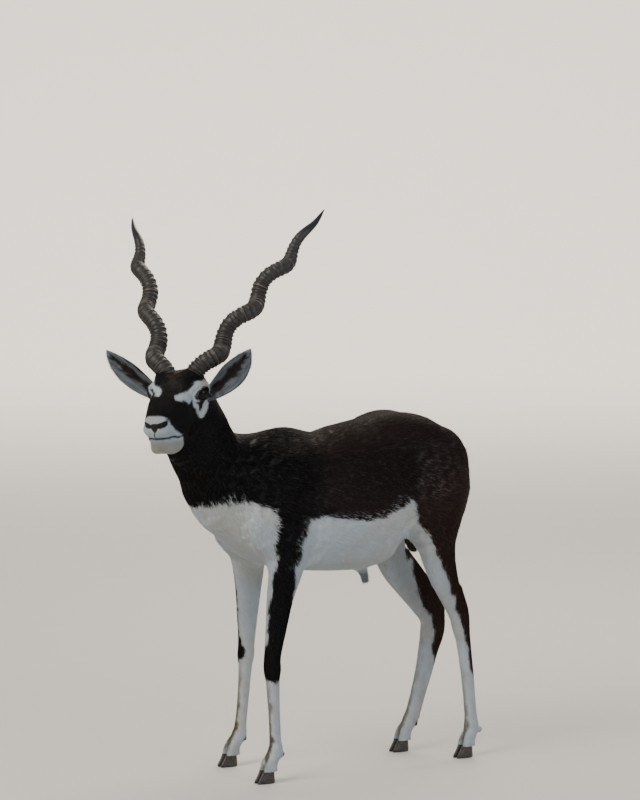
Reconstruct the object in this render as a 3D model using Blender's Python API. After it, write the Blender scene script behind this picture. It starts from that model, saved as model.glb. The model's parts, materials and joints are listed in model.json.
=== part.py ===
"""A life-size male blackbuck that stands alert and looks to its left.

The animal faces -Y, its left side is +X, and its hooves stand on Z = 0. Sizes are in metres.
The flesh is worked like clay: bones and muscles are soft lumps that melt into each other in a
field of distances. The field is meshed, thinned, and parted into head, neck, torso, legs and
tail by planes that leave a hair's gap. Horns, ears, eyes and claws meet the flesh face to face.
"""

import math

import bmesh
import bpy
import numpy as np
import openvdb
from mathutils import Euler, Matrix, Vector

# Driving sizes
WITHERS = 0.807
CROUP = 0.831
BELLY = 0.466
HEAD_AT = Vector((0.073, -0.497, 0.913))
HEAD_YAW = 39.5
HEAD_PITCH = 19.0
HEAD_ROLL = -2.0
GAP = 0.0003

# Torso, from the chest back: distance tailward, top, bottom and half the width of each section
TORSO = (
    (-0.412, WITHERS - 0.110, 0.665, 0.020),
    (-0.395, WITHERS - 0.085, 0.640, 0.048),
    (-0.360, WITHERS - 0.060, 0.595, 0.070),
    (-0.310, WITHERS - 0.030, 0.545, 0.088),
    (-0.260, WITHERS - 0.014, 0.508, 0.100),
    (-0.170, WITHERS - 0.002, 0.482, 0.114),
    (-0.100, WITHERS - 0.012, BELLY + 0.006, 0.127),
    (-0.030, CROUP - 0.022, BELLY, 0.136),
    (0.040, CROUP - 0.010, BELLY, 0.138),
    (0.100, CROUP - 0.002, BELLY + 0.018, 0.132),
    (0.150, CROUP, BELLY + 0.078, 0.113),
    (0.182, CROUP - 0.006, BELLY + 0.128, 0.108),
    (0.210, CROUP - 0.016, 0.616, 0.104),
    (0.265, CROUP - 0.050, 0.618, 0.088),
    (0.300, CROUP - 0.090, 0.630, 0.064),
    (0.318, CROUP - 0.125, 0.650, 0.030),
)

# Head, in its own frame with its middle between the eyes and the nose at -Y: as the torso
HEAD = (
    (0.098, -0.004, -0.030, 0.012),
    (0.085, 0.010, -0.052, 0.028),
    (0.050, 0.024, -0.078, 0.041),
    (0.010, 0.035, -0.093, 0.046),
    (-0.025, 0.038, -0.098, 0.046),
    (-0.060, 0.034, -0.100, 0.0455),
    (-0.095, 0.027, -0.099, 0.0395),
    (-0.125, 0.019, -0.083, 0.0330),
    (-0.145, 0.010, -0.068, 0.0265),
    (-0.154, 0.001, -0.052, 0.0180),
    (-0.158, -0.008, -0.036, 0.0080),
)
EYE_AT = Vector((0.0550, 0.015, -0.0015))
EYE_RADIUS = 0.0185
EYE_TURN = 26.0

# Legs from the trunk down: height, half the width and half the depth of each section
FORELEG = (
    (0.620, 0.046, 0.064),
    (0.550, 0.040, 0.056),
    (0.490, 0.032, 0.044),
    (0.430, 0.0260, 0.0340),
    (0.350, 0.0210, 0.0255),
    (0.295, 0.0190, 0.0205),
    (0.265, 0.0195, 0.0210),
    (0.235, 0.0155, 0.0170),
    (0.165, 0.0125, 0.0145),
    (0.100, 0.0125, 0.0145),
    (0.074, 0.0165, 0.0180),
    (0.052, 0.0150, 0.0150),
)
HINDLEG = (
    (0.650, 0.050, 0.086),
    (0.570, 0.045, 0.065),
    (0.510, 0.038, 0.048),
    (0.450, 0.0290, 0.0385),
    (0.395, 0.0200, 0.0300),
    (0.352, 0.0170, 0.0235),
    (0.320, 0.0180, 0.0230),
    (0.285, 0.0155, 0.0190),
    (0.190, 0.0130, 0.0165),
    (0.105, 0.0130, 0.0160),
    (0.076, 0.0165, 0.0185),
    (0.052, 0.0150, 0.0150),
)

# Stance: the way of each leg from the trunk down, as height, distance outward and tailward
FORE_WAY = {
    1: ((0.620, 0.080, -0.240), (0.545, 0.085, -0.204), (0.430, 0.088, -0.227), (0.350, 0.090, -0.241),
        (0.280, 0.090, -0.250), (0.165, 0.090, -0.245), (0.074, 0.090, -0.242), (0.052, 0.090, -0.252)),
    -1: ((0.620, 0.080, -0.240), (0.545, 0.086, -0.208), (0.430, 0.102, -0.195), (0.350, 0.111, -0.193),
         (0.280, 0.119, -0.191), (0.165, 0.123, -0.197), (0.074, 0.124, -0.208), (0.052, 0.124, -0.222)),
}
HIND_WAY = {
    1: ((0.650, 0.072, 0.216), (0.540, 0.085, 0.211), (0.450, 0.087, 0.231), (0.390, 0.088, 0.256),
        (0.320, 0.088, 0.283), (0.214, 0.090, 0.300), (0.074, 0.090, 0.314), (0.052, 0.090, 0.309)),
    -1: ((0.650, 0.072, 0.216), (0.540, 0.084, 0.188), (0.450, 0.082, 0.206), (0.390, 0.076, 0.244),
         (0.345, 0.070, 0.275), (0.310, 0.068, 0.296), (0.190, 0.060, 0.272), (0.074, 0.055, 0.235),
         (0.052, 0.055, 0.222)),
}

# Heel bone and the tendon below it: distance outward and tailward, height, half width and half depth
HEEL = {
    1: ((0.088, 0.274, 0.410, 0.0080, 0.0090), (0.088, 0.292, 0.350, 0.0115, 0.0115),
        (0.088, 0.280, 0.305, 0.0105, 0.0100)),
    -1: ((0.078, 0.252, 0.460, 0.0120, 0.0140), (0.073, 0.278, 0.405, 0.0120, 0.0250),
         (0.069, 0.312, 0.350, 0.0115, 0.0290), (0.068, 0.324, 0.315, 0.0115, 0.0215),
         (0.066, 0.321, 0.280, 0.0105, 0.0210), (0.063, 0.302, 0.235, 0.0100, 0.0195),
         (0.060, 0.292, 0.185, 0.0095, 0.0100), (0.057, 0.268, 0.130, 0.0095, 0.0100),
         (0.055, 0.250, 0.085, 0.0100, 0.0100)),
}

# Height at which claw meets flesh
CORONET = 0.030

# Horns, in the head's frame: root, tip, and the corkscrew of their middle line, whose swing grows
# or shrinks by HORN_FLARE at the root, over the share HORN_FLARED of the length
HORN_ROOT = Vector((0.0355, 0.0305, 0.0228))
HORN_FOOT = Vector((0.0285, 0.0330, 0.0225))
HORN_TIPS = {1: Vector((0.2430, 0.5040, 0.2465)), -1: Vector((-0.2370, 0.5035, 0.2360))}
HORN_RADIUS = 0.0230
HORN_SWING = {1: 0.0106, -1: 0.0100}
HORN_FLARE = {1: -0.45, -1: 0.25}
HORN_FLARED = 0.16
HORN_TURNS = {1: 3.815, -1: 3.585}
HORN_START = 0.144
HORN_RINGS = 38
HORN_SMOOTH_TIP = 0.14

# Ears, in the head's frame
EAR_ROOT = Vector((0.046, 0.050, -0.032))
EAR_TIP = Vector((0.172, 0.060, 0.084))
EAR_SAG = 0.0105

SIDES = (("left", 1), ("right", -1))

BLACK_COAT = (0.012, 0.010, 0.010)
BROWN_COAT = (0.030, 0.019, 0.015)
WHITE_COAT = (0.62, 0.60, 0.56)
HORN_GREY = (0.060, 0.052, 0.046)
HOOF_BLACK = (0.020, 0.018, 0.017)
EYE_BROWN = (0.010, 0.006, 0.004)


def fan(rows, steps):
    """Rows of numbers, made smooth: each span between two rows is split into steps (Catmull-Rom)."""
    rows = np.array(rows, float)
    padded = np.vstack([2 * rows[0] - rows[1], rows, 2 * rows[-1] - rows[-2]])
    found = []
    for i in range(1, len(padded) - 2):
        before, here, there, after = padded[i - 1 : i + 3]
        for t in np.arange(steps) / steps:
            found.append(
                0.5
                * (
                    2 * here
                    + (there - before) * t
                    + (2 * before - 5 * here + 4 * there - after) * t**2
                    + (3 * here - before - 3 * there + after) * t**3
                )
            )
    found.append(rows[-1])
    return np.array(found)


class Lump:
    """One soft shape: how far a point is from its skin, the box that it can change, and its blend."""

    REACH = 0.045

    def __init__(self, distance, low, high, blend, carves=False):
        self.distance = distance
        self.low = np.array(low) - self.REACH
        self.high = np.array(high) + self.REACH
        self.blend = blend
        self.carves = carves


def local_to(frame, x, y, z):
    """The points of a grid in the coordinates of a frame."""
    back = np.array(frame.inverted(), np.float32)
    return [row[0] * x + row[1] * y + row[2] * z + row[3] for row in back[:3]]


def oval(centre, radii, blend, turn=(0, 0, 0), frame=Matrix.Identity(4), carves=False):
    """An ellipsoid. turn is in degrees about its own X, Y and Z, and frame places it."""
    place = frame @ Matrix.LocRotScale(centre, Euler([math.radians(a) for a in turn]), None)
    radii = np.array(radii, np.float32)
    middle = np.array(place.translation)
    spread = np.sqrt(np.array(place.to_3x3()) ** 2 @ radii**2)

    def distance(x, y, z):
        local = local_to(place, x, y, z)
        near = np.sqrt(sum((c / r) ** 2 for c, r in zip(local, radii))) + 1e-6
        slope = np.sqrt(sum((c / r**2) ** 2 for c, r in zip(local, radii))) + 1e-6
        return near * (near - 1) / slope

    return Lump(distance, middle - spread, middle + spread, blend, carves)


def loft(rows, blend, frame=Matrix.Identity(4), power=2.0, pear=0.0):
    """A trunk along the frame's Y through rows of (y, top, bottom, half width), symmetric in X.

    power over 2 squares its sections, and pear widens their upper half by that share.
    """
    rows = fan(rows, 12)
    rows = rows[np.argsort(rows[:, 0])]
    corners = [(s * rows[:, 3].max(), y, z) for s in (-1, 1) for y in rows[[0, -1], 0]
               for z in (rows[:, 2].min(), rows[:, 1].max())]
    corners = np.array([frame @ Vector(corner) for corner in corners])

    def distance(x, y, z):
        wide, along, high = local_to(frame, x, y, z)
        top, bottom, half = (np.interp(along, rows[:, 0], rows[:, i]).astype(np.float32) for i in (1, 2, 3))
        tall = (top - bottom) / 2
        high = high - (top + bottom) / 2
        half = half * (1 + pear * np.clip(high / tall, -1, 1))
        share = (np.abs(wide / half) ** power + np.abs(high / tall) ** power) ** (1 / power) + 1e-5
        skin = np.sqrt(wide**2 + high**2) * (1 - 1 / share)
        beyond = along - np.clip(along, rows[0, 0], rows[-1, 0])
        return np.where(beyond == 0, skin, np.sqrt(np.maximum(skin, 0) ** 2 + beyond**2))

    return Lump(distance, corners.min(0), corners.max(0), blend)


def limb(rows, blend, frame=Matrix.Identity(4), steps=5, carves=False):
    """A tube through rows of (x, y, z, half width, half depth). Its width lies along the frame's X."""
    rows = fan(rows, steps)
    points = np.array([frame @ Vector(row[:3]) for row in rows])
    side = np.array(frame.to_3x3() @ Vector((1, 0, 0)))
    sizes = rows[:, 3:5]
    most = sizes.max(1)[:, None]

    def piece(x, y, z, i):
        """How far points are from the piece of tube between rows i and i + 1."""
        start, run = points[i], points[i + 1] - points[i]
        length = np.linalg.norm(run)
        along = run / length
        across = side - along * (side @ along)
        across /= np.linalg.norm(across)
        deep = np.cross(along, across)
        away = [x - start[0], y - start[1], z - start[2]]
        went = sum(a * b for a, b in zip(away, along))
        t = np.clip(went / length, 0, 1)
        beyond = went - t * length
        half_width = sizes[i, 0] + (sizes[i + 1, 0] - sizes[i, 0]) * t
        half_depth = sizes[i, 1] + (sizes[i + 1, 1] - sizes[i, 1]) * t
        wide = sum(a * b for a, b in zip(away, across))
        tall = sum(a * b for a, b in zip(away, deep))
        least = np.minimum(half_width, half_depth)
        share = np.sqrt((wide / half_width) ** 2 + (tall / half_depth) ** 2 + (beyond / least) ** 2) + 1e-5
        return np.sqrt(wide**2 + tall**2 + beyond**2) * (1 - 1 / share)

    def distance(x, y, z):
        found = np.full(np.broadcast(x, y, z).shape, 1.0, np.float32)
        for i in range(len(points) - 1):
            room = sizes[i : i + 2].max() + Lump.REACH
            low, high = np.minimum(points[i], points[i + 1]) - room, np.maximum(points[i], points[i + 1]) + room
            window = window_of((x.ravel(), y.ravel(), z.ravel()), low, high)
            if window:
                part = piece(x[window[0]], y[:, window[1]], z[:, :, window[2]], i)
                found[window] = np.minimum(found[window], part)
        return found

    return Lump(distance, (points - most).min(0), (points + most).max(0), blend, carves)


def window_of(axes, low, high):
    """The slices of a grid's axes that lie between two corners, or nothing."""
    window = tuple(slice(*np.searchsorted(axis, (a, b))) for axis, a, b in zip(axes, low, high))
    return window if all(s.stop > s.start for s in window) else None


def melt(lumps, axes):
    """The field of distances of all lumps, on the grid of these axes."""
    field = np.full([len(axis) for axis in axes], 1.0, np.float32)
    for lump in lumps:
        window = window_of(axes, lump.low, lump.high)
        if not window:
            continue
        x, y, z = (axis[s] for axis, s in zip(axes, window))
        new = lump.distance(x[:, None, None], y[None, :, None], z[None, None, :])
        old = field[window]
        if lump.carves:
            old = -old
        share = np.clip(0.5 + 0.5 * (old - new) / lump.blend, 0, 1)
        mixed = old * (1 - share) + new * share - lump.blend * share * (1 - share)
        field[window] = -mixed if lump.carves else mixed
    return field


def sculpt(name, lumps, low, high, step, faces):
    """A closed mesh object of the lumps between two corners, thinned to about that many triangles."""
    axes = [np.arange(a, b + step, step, dtype=np.float32) for a, b in zip(low, high)]
    field = melt(lumps, axes)
    for axis in range(3):
        np.moveaxis(field, axis, 0)[[0, -1]] = step
    grid = openvdb.FloatGrid(1.0)
    grid.copyFromArray(field)
    place = np.diag([step, step, step, 1.0])
    place[3, :3] = low
    grid.transform = openvdb.createLinearTransform(place.tolist())
    points, _, quads = grid.convertToPolygons(0.0, 0.0)
    mesh = bpy.data.meshes.new(name)
    mesh.from_pydata(points, [], quads)
    piece = bpy.data.objects.new(name, mesh)
    bpy.context.scene.collection.objects.link(piece)
    thin = piece.modifiers.new("thin", "DECIMATE")
    thin.ratio = min(1.0, faces / (2 * len(quads)))
    thin.use_collapse_triangulate = True
    return settle(piece)


def settle(piece):
    """The piece with its modifiers applied and only its largest closed surface kept."""
    mesh = bpy.data.meshes.new_from_object(piece.evaluated_get(bpy.context.evaluated_depsgraph_get()))
    form = bmesh.new()
    form.from_mesh(mesh)
    left = set(form.verts)
    shells = []
    while left:
        shell, edge = set(), [left.pop()]
        while edge:
            vert = edge.pop()
            shell.add(vert)
            for link in vert.link_edges:
                other = link.other_vert(vert)
                if other in left:
                    left.remove(other)
                    edge.append(other)
        shells.append(shell)
    shells.sort(key=len)
    bmesh.ops.delete(form, geom=[vert for shell in shells[:-1] for vert in shell], context="VERTS")
    form.to_mesh(mesh)
    form.free()
    old = piece.data
    piece.modifiers.clear()
    piece.data = mesh
    bpy.data.meshes.remove(old)
    mesh.name = piece.name
    return piece


def cut(piece, tool, operation="DIFFERENCE"):
    """Cuts the piece with the tool, or keeps what they share."""
    knife = piece.modifiers.new("cut", "BOOLEAN")
    knife.operation = operation
    knife.solver = "MANIFOLD"
    knife.object = tool
    bpy.context.view_layer.update()
    return settle(piece)


def copy_of(piece, name, puffed=0.0):
    """A copy of the piece under another name, puffed out along its normals."""
    twin = bpy.data.objects.new(name, piece.data.copy())
    bpy.context.scene.collection.objects.link(twin)
    if puffed:
        skin = twin.modifiers.new("puff", "DISPLACE")
        skin.strength = puffed
        skin.mid_level = 0.0
        settle(twin)
    return twin


def half_space(name, point, normal, gap=0.0, wide=1.6):
    """A block that fills the side of a plane that its normal points to, moved back by a gap."""
    normal = Vector(normal).normalized()
    form = bmesh.new()
    bmesh.ops.create_cube(form, size=wide)
    turn = normal.to_track_quat("Z", "Y").to_matrix().to_4x4()
    centre = Vector(point) + normal * (wide / 2 - gap)
    bmesh.ops.transform(form, matrix=Matrix.Translation(centre) @ turn, verts=form.verts)
    return object_from(form, name)


def object_from(form, name):
    mesh = bpy.data.meshes.new(name)
    form.to_mesh(mesh)
    form.free()
    piece = bpy.data.objects.new(name, mesh)
    bpy.context.scene.collection.objects.link(piece)
    return piece


def torso_lumps():
    lumps = [loft(TORSO, 0.001, power=2.25, pear=-0.06)]
    lumps.append(oval((0, -0.170, WITHERS - 0.060), (0.032, 0.105, 0.064), 0.030))
    lumps.append(oval((0, -0.345, 0.660), (0.060, 0.045, 0.070), 0.040))
    for s in (-1, 1):
        lumps.append(oval((s * 0.080, -0.225, 0.640), (0.040, 0.075, 0.125), 0.030, turn=(-18, 0, 0)))
        lumps.append(oval((s * 0.066, 0.215, 0.660), (0.056, 0.095, 0.140), 0.040, turn=(-15, 0, 0)))
        lumps.append(oval((s * 0.060, 0.150, CROUP - 0.042), (0.040, 0.060, 0.036), 0.050))
        lumps.append(oval((s * 0.042, 0.282, 0.700), (0.034, 0.036, 0.060), 0.030))
        lumps.append(oval((s * 0.116, 0.126, 0.516), (0.036, 0.040, 0.044), 0.022, carves=True))
    sheath = [
        (0, 0.040, 0.485, 0.014, 0.022),
        (0, 0.060, 0.458, 0.011, 0.013),
        (0, 0.066, 0.435, 0.0075, 0.0085),
    ]
    lumps.append(limb(sheath, 0.012))
    lumps.append(oval((0, 0.205, 0.545), (0.023, 0.026, 0.052), 0.010))
    return lumps


def leg_lumps(shape, way, side):
    """A leg of that shape along its way, with its toes and dewclaws."""
    heights, halves, depths = np.array(shape).T
    path = fan(way, 8)[::-1]
    across = side * np.interp(heights, path[:, 0], path[:, 1])
    along = np.interp(heights, path[:, 0], path[:, 2])
    rows = list(zip(across, along, heights, halves, depths))
    return [limb(rows, 0.035)] + toe_lumps(*foot_of(way, side))


def foot_of(way, side):
    """Where the middle of a hoof stands."""
    _, across, along = way[-1]
    return side * across, along - 0.008


def foreleg_lumps(side):
    return leg_lumps(FORELEG, FORE_WAY[side], side)


def hindleg_lumps(side):
    heel = [(side * x, y, z, wide, deep) for x, y, z, wide, deep in HEEL[side]]
    return leg_lumps(HINDLEG, HIND_WAY[side], side) + [limb(heel, 0.014)]


def toe_lumps(x, y):
    """The two short toes above the claws, and the pair of dewclaws behind them."""
    lumps = []
    for s in (-1, 1):
        toe = [
            (x + s * 0.0075, y + 0.012, 0.062, 0.0090, 0.0125),
            (x + s * 0.0098, y + 0.002, 0.044, 0.0090, 0.0155),
            (x + s * 0.0104, y - 0.002, 0.020, 0.0095, 0.0190),
        ]
        lumps.append(limb(toe, 0.004))
        lumps.append(oval((x + s * 0.010, y + 0.031, 0.066), (0.0055, 0.0070, 0.0080), 0.004))
    return lumps


def head_frame():
    turn = Euler([math.radians(a) for a in (HEAD_PITCH, HEAD_ROLL, HEAD_YAW)])
    return Matrix.LocRotScale(HEAD_AT, turn, None)


def neck_lumps():
    nape = head_frame() @ Vector((0, 0.050, -0.012))
    throat = head_frame() @ Vector((0, 0.030, -0.034))
    rows = [
        (0.000, -0.250, 0.670, 0.082, 0.112),
        (0.004, -0.329, 0.716, 0.073, 0.100),
        (0.012, -0.376, 0.758, 0.065, 0.087),
        (0.020, -0.410, 0.812, 0.059, 0.084),
        (0.028, -0.434, 0.860, 0.053, 0.076),
        (*nape, 0.045, 0.060),
    ]
    return [limb(rows, 0.040), oval(throat, (0.042, 0.055, 0.060), 0.030)]


def head_lumps():
    at = head_frame()
    lumps = [loft(HEAD, 0.025, frame=at, power=2.2, pear=0.22)]

    def pair(point, radii, blend, turn=(0, 0, 0), carves=False):
        for s in (-1, 1):
            there = (s * point[0], point[1], point[2])
            lumps.append(oval(there, radii, blend, (turn[0], s * turn[1], s * turn[2]), at, carves))

    pair((0.032, 0.020, -0.047), (0.016, 0.036, 0.034), 0.015)
    pair((0.045, 0.018, -0.024), (0.014, 0.034, 0.010), 0.012)
    pair((0.041, 0.008, 0.019), (0.018, 0.024, 0.012), 0.012, turn=(0, 20, 0))
    pair((0.0515, 0.038, -0.002), (0.0180, 0.0190, 0.0230), 0.010)
    pair((0.0165, -0.144, -0.003), (0.0125, 0.0130, 0.0105), 0.006)
    pair((0.0165, -0.131, -0.022), (0.0190, 0.0250, 0.0140), 0.007)
    lumps.append(oval((0, -0.149, -0.006), (0.0130, 0.0100, 0.0130), 0.006, frame=at))
    lumps.append(oval((0, -0.122, -0.062), (0.0260, 0.0290, 0.0200), 0.008, frame=at))
    pair((0.0190, -0.090, -0.080), (0.0165, 0.0400, 0.0150), 0.020)
    pair(EYE_AT, [EYE_RADIUS + 0.0030] * 3, 0.010)
    for s in (-1, 1):
        foot = HORN_FOOT * Vector((s, 1, 1))
        way = (HORN_TIPS[s] - HORN_ROOT * Vector((s, 1, 1))).normalized()
        stub = [(*(foot - way * 0.022), 0.0245, 0.0245), (*(foot + way * 0.006), 0.0250, 0.0250)]
        lumps.append(limb(stub, 0.012, frame=at))
        mouth = [
            (s * 0.000, -0.161, -0.034, 0.0016, 0.0016),
            (s * 0.020, -0.152, -0.037, 0.0020, 0.0020),
            (s * 0.033, -0.124, -0.046, 0.0020, 0.0020),
            (s * 0.040, -0.088, -0.060, 0.0014, 0.0014),
        ]
        nostril = [
            (s * 0.010, -0.160, -0.008, 0.0034, 0.0028),
            (s * 0.018, -0.155, -0.004, 0.0055, 0.0042),
            (s * 0.026, -0.145, -0.003, 0.0034, 0.0034),
        ]
        lumps.append(limb(mouth, 0.0016, frame=at, carves=True))
        lumps.append(limb(nostril, 0.0020, frame=at, carves=True))
    facing = Matrix.Rotation(math.radians(-EYE_TURN), 3, "Z") @ Vector((0.0170, 0, 0))
    pair(EYE_AT + facing, (0.0165, 0.0186, 0.0138), 0.003, turn=(0, 0, -EYE_TURN), carves=True)
    return lumps


def all_lumps():
    lumps = torso_lumps()
    for side in (1, -1):
        lumps += foreleg_lumps(side) + hindleg_lumps(side)
    return lumps + neck_lumps() + head_lumps()


def horn(name, side):
    """A ringed corkscrew, from inside the head out to its smooth tip."""
    at = head_frame()
    root, tip = at @ (HORN_ROOT * Vector((side, 1, 1))), at @ HORN_TIPS[side]
    axis = (tip - root).normalized()
    out = at.to_3x3() @ Vector((side, 0, 0))
    out = (out - axis * out.dot(axis)).normalized()
    back = axis.cross(out) * side
    length = (tip - root).length
    ringed = 1 - HORN_SMOOTH_TIP
    sides = 12

    def middle(t):
        """A point of the middle line, t from 0 at the root to 1 at the tip."""
        turn = math.tau * HORN_TURNS[side] * (t - HORN_START)
        flare = 1 + HORN_FLARE[side] * max(1 - t / HORN_FLARED, 0)
        swing = HORN_SWING[side] * flare * min(1.0, 3.0 * (1 - t))
        return root + axis * (length * t) + out * (swing * math.cos(turn)) + back * (swing * math.sin(turn))

    def girth(t):
        return HORN_RADIUS * (1 - 0.30 * t) * min(1.0, (1 - t) / 0.32) ** 0.62

    stops = [-0.03]
    for i in range(HORN_RINGS):
        stops += [ringed * ((i + part) / HORN_RINGS) ** 1.12 for part in (0.0, 0.55)]
    stops += list(np.linspace(ringed, 0.995, 8))
    form = bmesh.new()
    loops = []
    for i, t in enumerate(stops):
        along = (middle(t + 0.002) - middle(t - 0.002)).normalized()
        across = (out - along * out.dot(along)).normalized()
        other = along.cross(across)
        crest = 0 < t < ringed and i % 2 == 0
        radius = girth(max(t, 0)) - (0.0 if crest or t >= ringed else 0.0026 * (1 - 0.4 * max(t, 0)))
        angles = [math.tau * k / sides for k in range(sides)]
        loops.append([form.verts.new(middle(t) + (across * math.cos(a) + other * math.sin(a)) * radius)
                      for a in angles])
    for low, high in zip(loops, loops[1:]):
        for k in range(sides):
            form.faces.new((low[k], low[(k + 1) % sides], high[(k + 1) % sides], high[k]))
    form.faces.new(loops[0][::-1])
    peak = form.verts.new(tip)
    for k in range(sides):
        form.faces.new((loops[-1][k], loops[-1][(k + 1) % sides], peak))
    bmesh.ops.triangulate(form, faces=form.faces)
    return object_from(form, name)


def ear(name, side):
    """A leaf-shaped cup that opens forward and outward."""
    at = head_frame()
    mirror = Vector((side, 1, 1))
    root, tip = EAR_ROOT * mirror, EAR_TIP * mirror
    along = (tip - root).normalized()
    opening = Vector((side * 0.25, -1.0, 0.10))
    opening = (opening - along * opening.dot(along)).normalized()
    across = along.cross(opening)
    place = Matrix((across, opening, along)).transposed().to_4x4()
    place.translation = (root + tip) / 2
    place = at @ place
    half = (tip - root).length / 2
    outline = ((-1.00, 0.0100, 0.0110), (-0.60, 0.0195, 0.0130), (-0.20, 0.0270, 0.0125),
               (0.20, 0.0290, 0.0110), (0.60, 0.0210, 0.0085), (0.88, 0.0095, 0.0050), (1.00, 0.0020, 0.0020))
    shell = [(side * EAR_SAG * (1 - t * t), 0, half * t, wide, deep) for t, wide, deep in outline]
    hollow = [(side * EAR_SAG * (1 - t * t), 0.0085, half * (t * 0.96 + 0.02), wide - 0.0015, deep)
              for t, wide, deep in outline[1:-1]]
    lumps = [limb(shell, 0.001, frame=place), limb(hollow, 0.002, frame=place, carves=True)]
    low = lumps[0].low + Lump.REACH - 0.003
    high = lumps[0].high - Lump.REACH + 0.003
    return sculpt(name, lumps, low, high, 0.0010, 420)


def eye(name, side):
    form = bmesh.new()
    at = head_frame() @ Matrix.Translation(EYE_AT * Vector((side, 1, 1)))
    at = at @ Matrix.Rotation(math.pi / 2, 4, "Y")
    bmesh.ops.create_uvsphere(form, u_segments=14, v_segments=9, radius=EYE_RADIUS, matrix=at)
    bmesh.ops.triangulate(form, faces=form.faces)
    return object_from(form, name)


def claw(name, x, y, side):
    """One half of a cloven hoof: a wedge with a flat sole, a straight inner wall and a pointed toe."""
    form = bmesh.new()
    rows = ((0.0000, 0.0160, 0.0300, 0.0150), (0.0060, 0.0165, 0.0290, 0.0155),
            (CORONET - GAP, 0.0150, 0.0160, 0.0140))
    sides = 14
    loops = []
    for z, width, toe, heel in rows:
        loop = []
        for k in range(sides):
            a = math.tau * k / sides
            reach = toe if math.sin(a) < 0 else heel
            point = abs(math.sin(a)) ** 1.25 * math.copysign(1, math.sin(a))
            out = max(math.cos(a) * width / 2, -width * 0.36)
            spot = (x + side * (0.0018 + width * 0.36 + out), y - 0.004 + reach * point, z)
            loop.append(form.verts.new(spot))
        loops.append(loop)
    for low, high in zip(loops, loops[1:]):
        for k in range(sides):
            form.faces.new((low[k], low[(k + 1) % sides], high[(k + 1) % sides], high[k]))
    form.faces.new(loops[0][::-1])
    form.faces.new(loops[-1])
    bmesh.ops.recalc_face_normals(form, faces=form.faces)
    bmesh.ops.triangulate(form, faces=form.faces)
    return object_from(form, name)


def tail_lumps():
    rows = [
        (0.000, 0.270, 0.755, 0.020, 0.018),
        (0.000, 0.312, 0.742, 0.019, 0.015),
        (0.000, 0.338, 0.700, 0.018, 0.011),
        (0.000, 0.345, 0.650, 0.014, 0.009),
        (0.000, 0.346, 0.610, 0.007, 0.005),
    ]
    return [limb(rows, 0.010)]


def coat(name, colour, rough=0.8):
    material = bpy.data.materials.new(name)
    material.use_nodes = True
    shader = material.node_tree.nodes["Principled BSDF"]
    shader.inputs["Base Color"].default_value = (*colour, 1)
    shader.inputs["Roughness"].default_value = rough
    shader.inputs["Metallic"].default_value = 0.0
    return material


def claws():
    """The eight claws, two to a foot."""
    for side, s in SIDES:
        for kind, way in (("fore", FORE_WAY), ("hind", HIND_WAY)):
            x, y = foot_of(way[s], s)
            claw(f"claw_{kind}_{side}_outer", x, y, s)
            claw(f"claw_{kind}_{side}_inner", x, y, -s)


def part_flesh(body, skull, tail):
    """Parts the modelled flesh into its nodes, with a gap at every cut."""
    nodes = {}
    at = head_frame()
    neck_plane = (at @ Vector((0, 0.040, -0.045)), at.to_3x3() @ Vector((0, -0.55, 0.84)))
    chest_plane = (Vector((0, -0.300, 0.690)), Vector((0, -0.78, 0.62)))

    def blocked(piece, plane, gap, keep):
        block = half_space("block", *plane, gap)
        cut(piece, block, "INTERSECT" if keep else "DIFFERENCE")
        bpy.data.objects.remove(block)
        return piece

    nodes["head"] = blocked(copy_of(skull, "head"), neck_plane, 0.0, True)
    neck = blocked(copy_of(body, "neck"), chest_plane, 0.0, True)
    nodes["neck"] = blocked(neck, neck_plane, GAP, False)
    torso = blocked(copy_of(body, "torso"), chest_plane, GAP, False)
    for side, s in SIDES:
        roots = {
            "foreleg": (Vector((s * 0.062, 0, 0.500)), Vector((s * 0.6, 0, -0.8)), 0.002, -0.60, -0.145),
            "hindleg": (Vector((0, 0.125, 0.490)), Vector((0, 0.70, -0.71)), 0.028, 0.05, 0.60),
        }
        for kind, root in roots.items():
            block = leg_block(s, *root, 0.0)
            leg = copy_of(body, f"{kind}_{side}")
            nodes[leg.name] = cut(leg, block, "INTERSECT")
            bpy.data.objects.remove(block)
            block = leg_block(s, *root, GAP)
            cut(torso, block)
            bpy.data.objects.remove(block)
    sole = (Vector((0, 0, CORONET)), Vector((0, 0, -1)))
    for name, node in nodes.items():
        if "leg" in name:
            blocked(node, sole, 0.0, False)
    puffed = copy_of(torso, "puffed", GAP)
    nodes["torso"] = torso
    nodes["tail"] = cut(tail, puffed)
    bpy.data.objects.remove(puffed)
    return nodes


def leg_block(side, point, normal, inner, front, rear, gap):
    """A wedge of space that holds one leg: past its root plane, clear of the animal's middle."""
    form = bmesh.new()
    bmesh.ops.create_cube(form, size=1.0)
    centre = Vector((side * (inner - gap + 0.20), (front + rear + gap) / 2, 0.25))
    size = Vector((0.40, rear - front + gap, 0.90))
    bmesh.ops.transform(form, matrix=Matrix.LocRotScale(centre, None, size), verts=form.verts)
    raised = point - normal.normalized() * gap
    geometry = form.verts[:] + form.edges[:] + form.faces[:]
    bmesh.ops.bisect_plane(form, geom=geometry, plane_co=raised, plane_no=normal, clear_inner=True)
    bmesh.ops.holes_fill(form, edges=[edge for edge in form.edges if edge.is_boundary])
    bmesh.ops.recalc_face_normals(form, faces=form.faces)
    return object_from(form, "leg block")


def seat(head, neck):
    """Sinks the eyes in the head, and trims horns and ears to the surface they grow from."""
    for side, _ in SIDES:
        ball = copy_of(bpy.data.objects["eye_" + side], "ball", GAP)
        cut(head, ball)
        bpy.data.objects.remove(ball)
    for base in (head, neck):
        puffed = copy_of(base, "puffed", GAP)
        for side, _ in SIDES:
            cut(bpy.data.objects["horn_" + side], puffed)
            cut(bpy.data.objects["ear_" + side], puffed)
        bpy.data.objects.remove(puffed)


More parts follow.
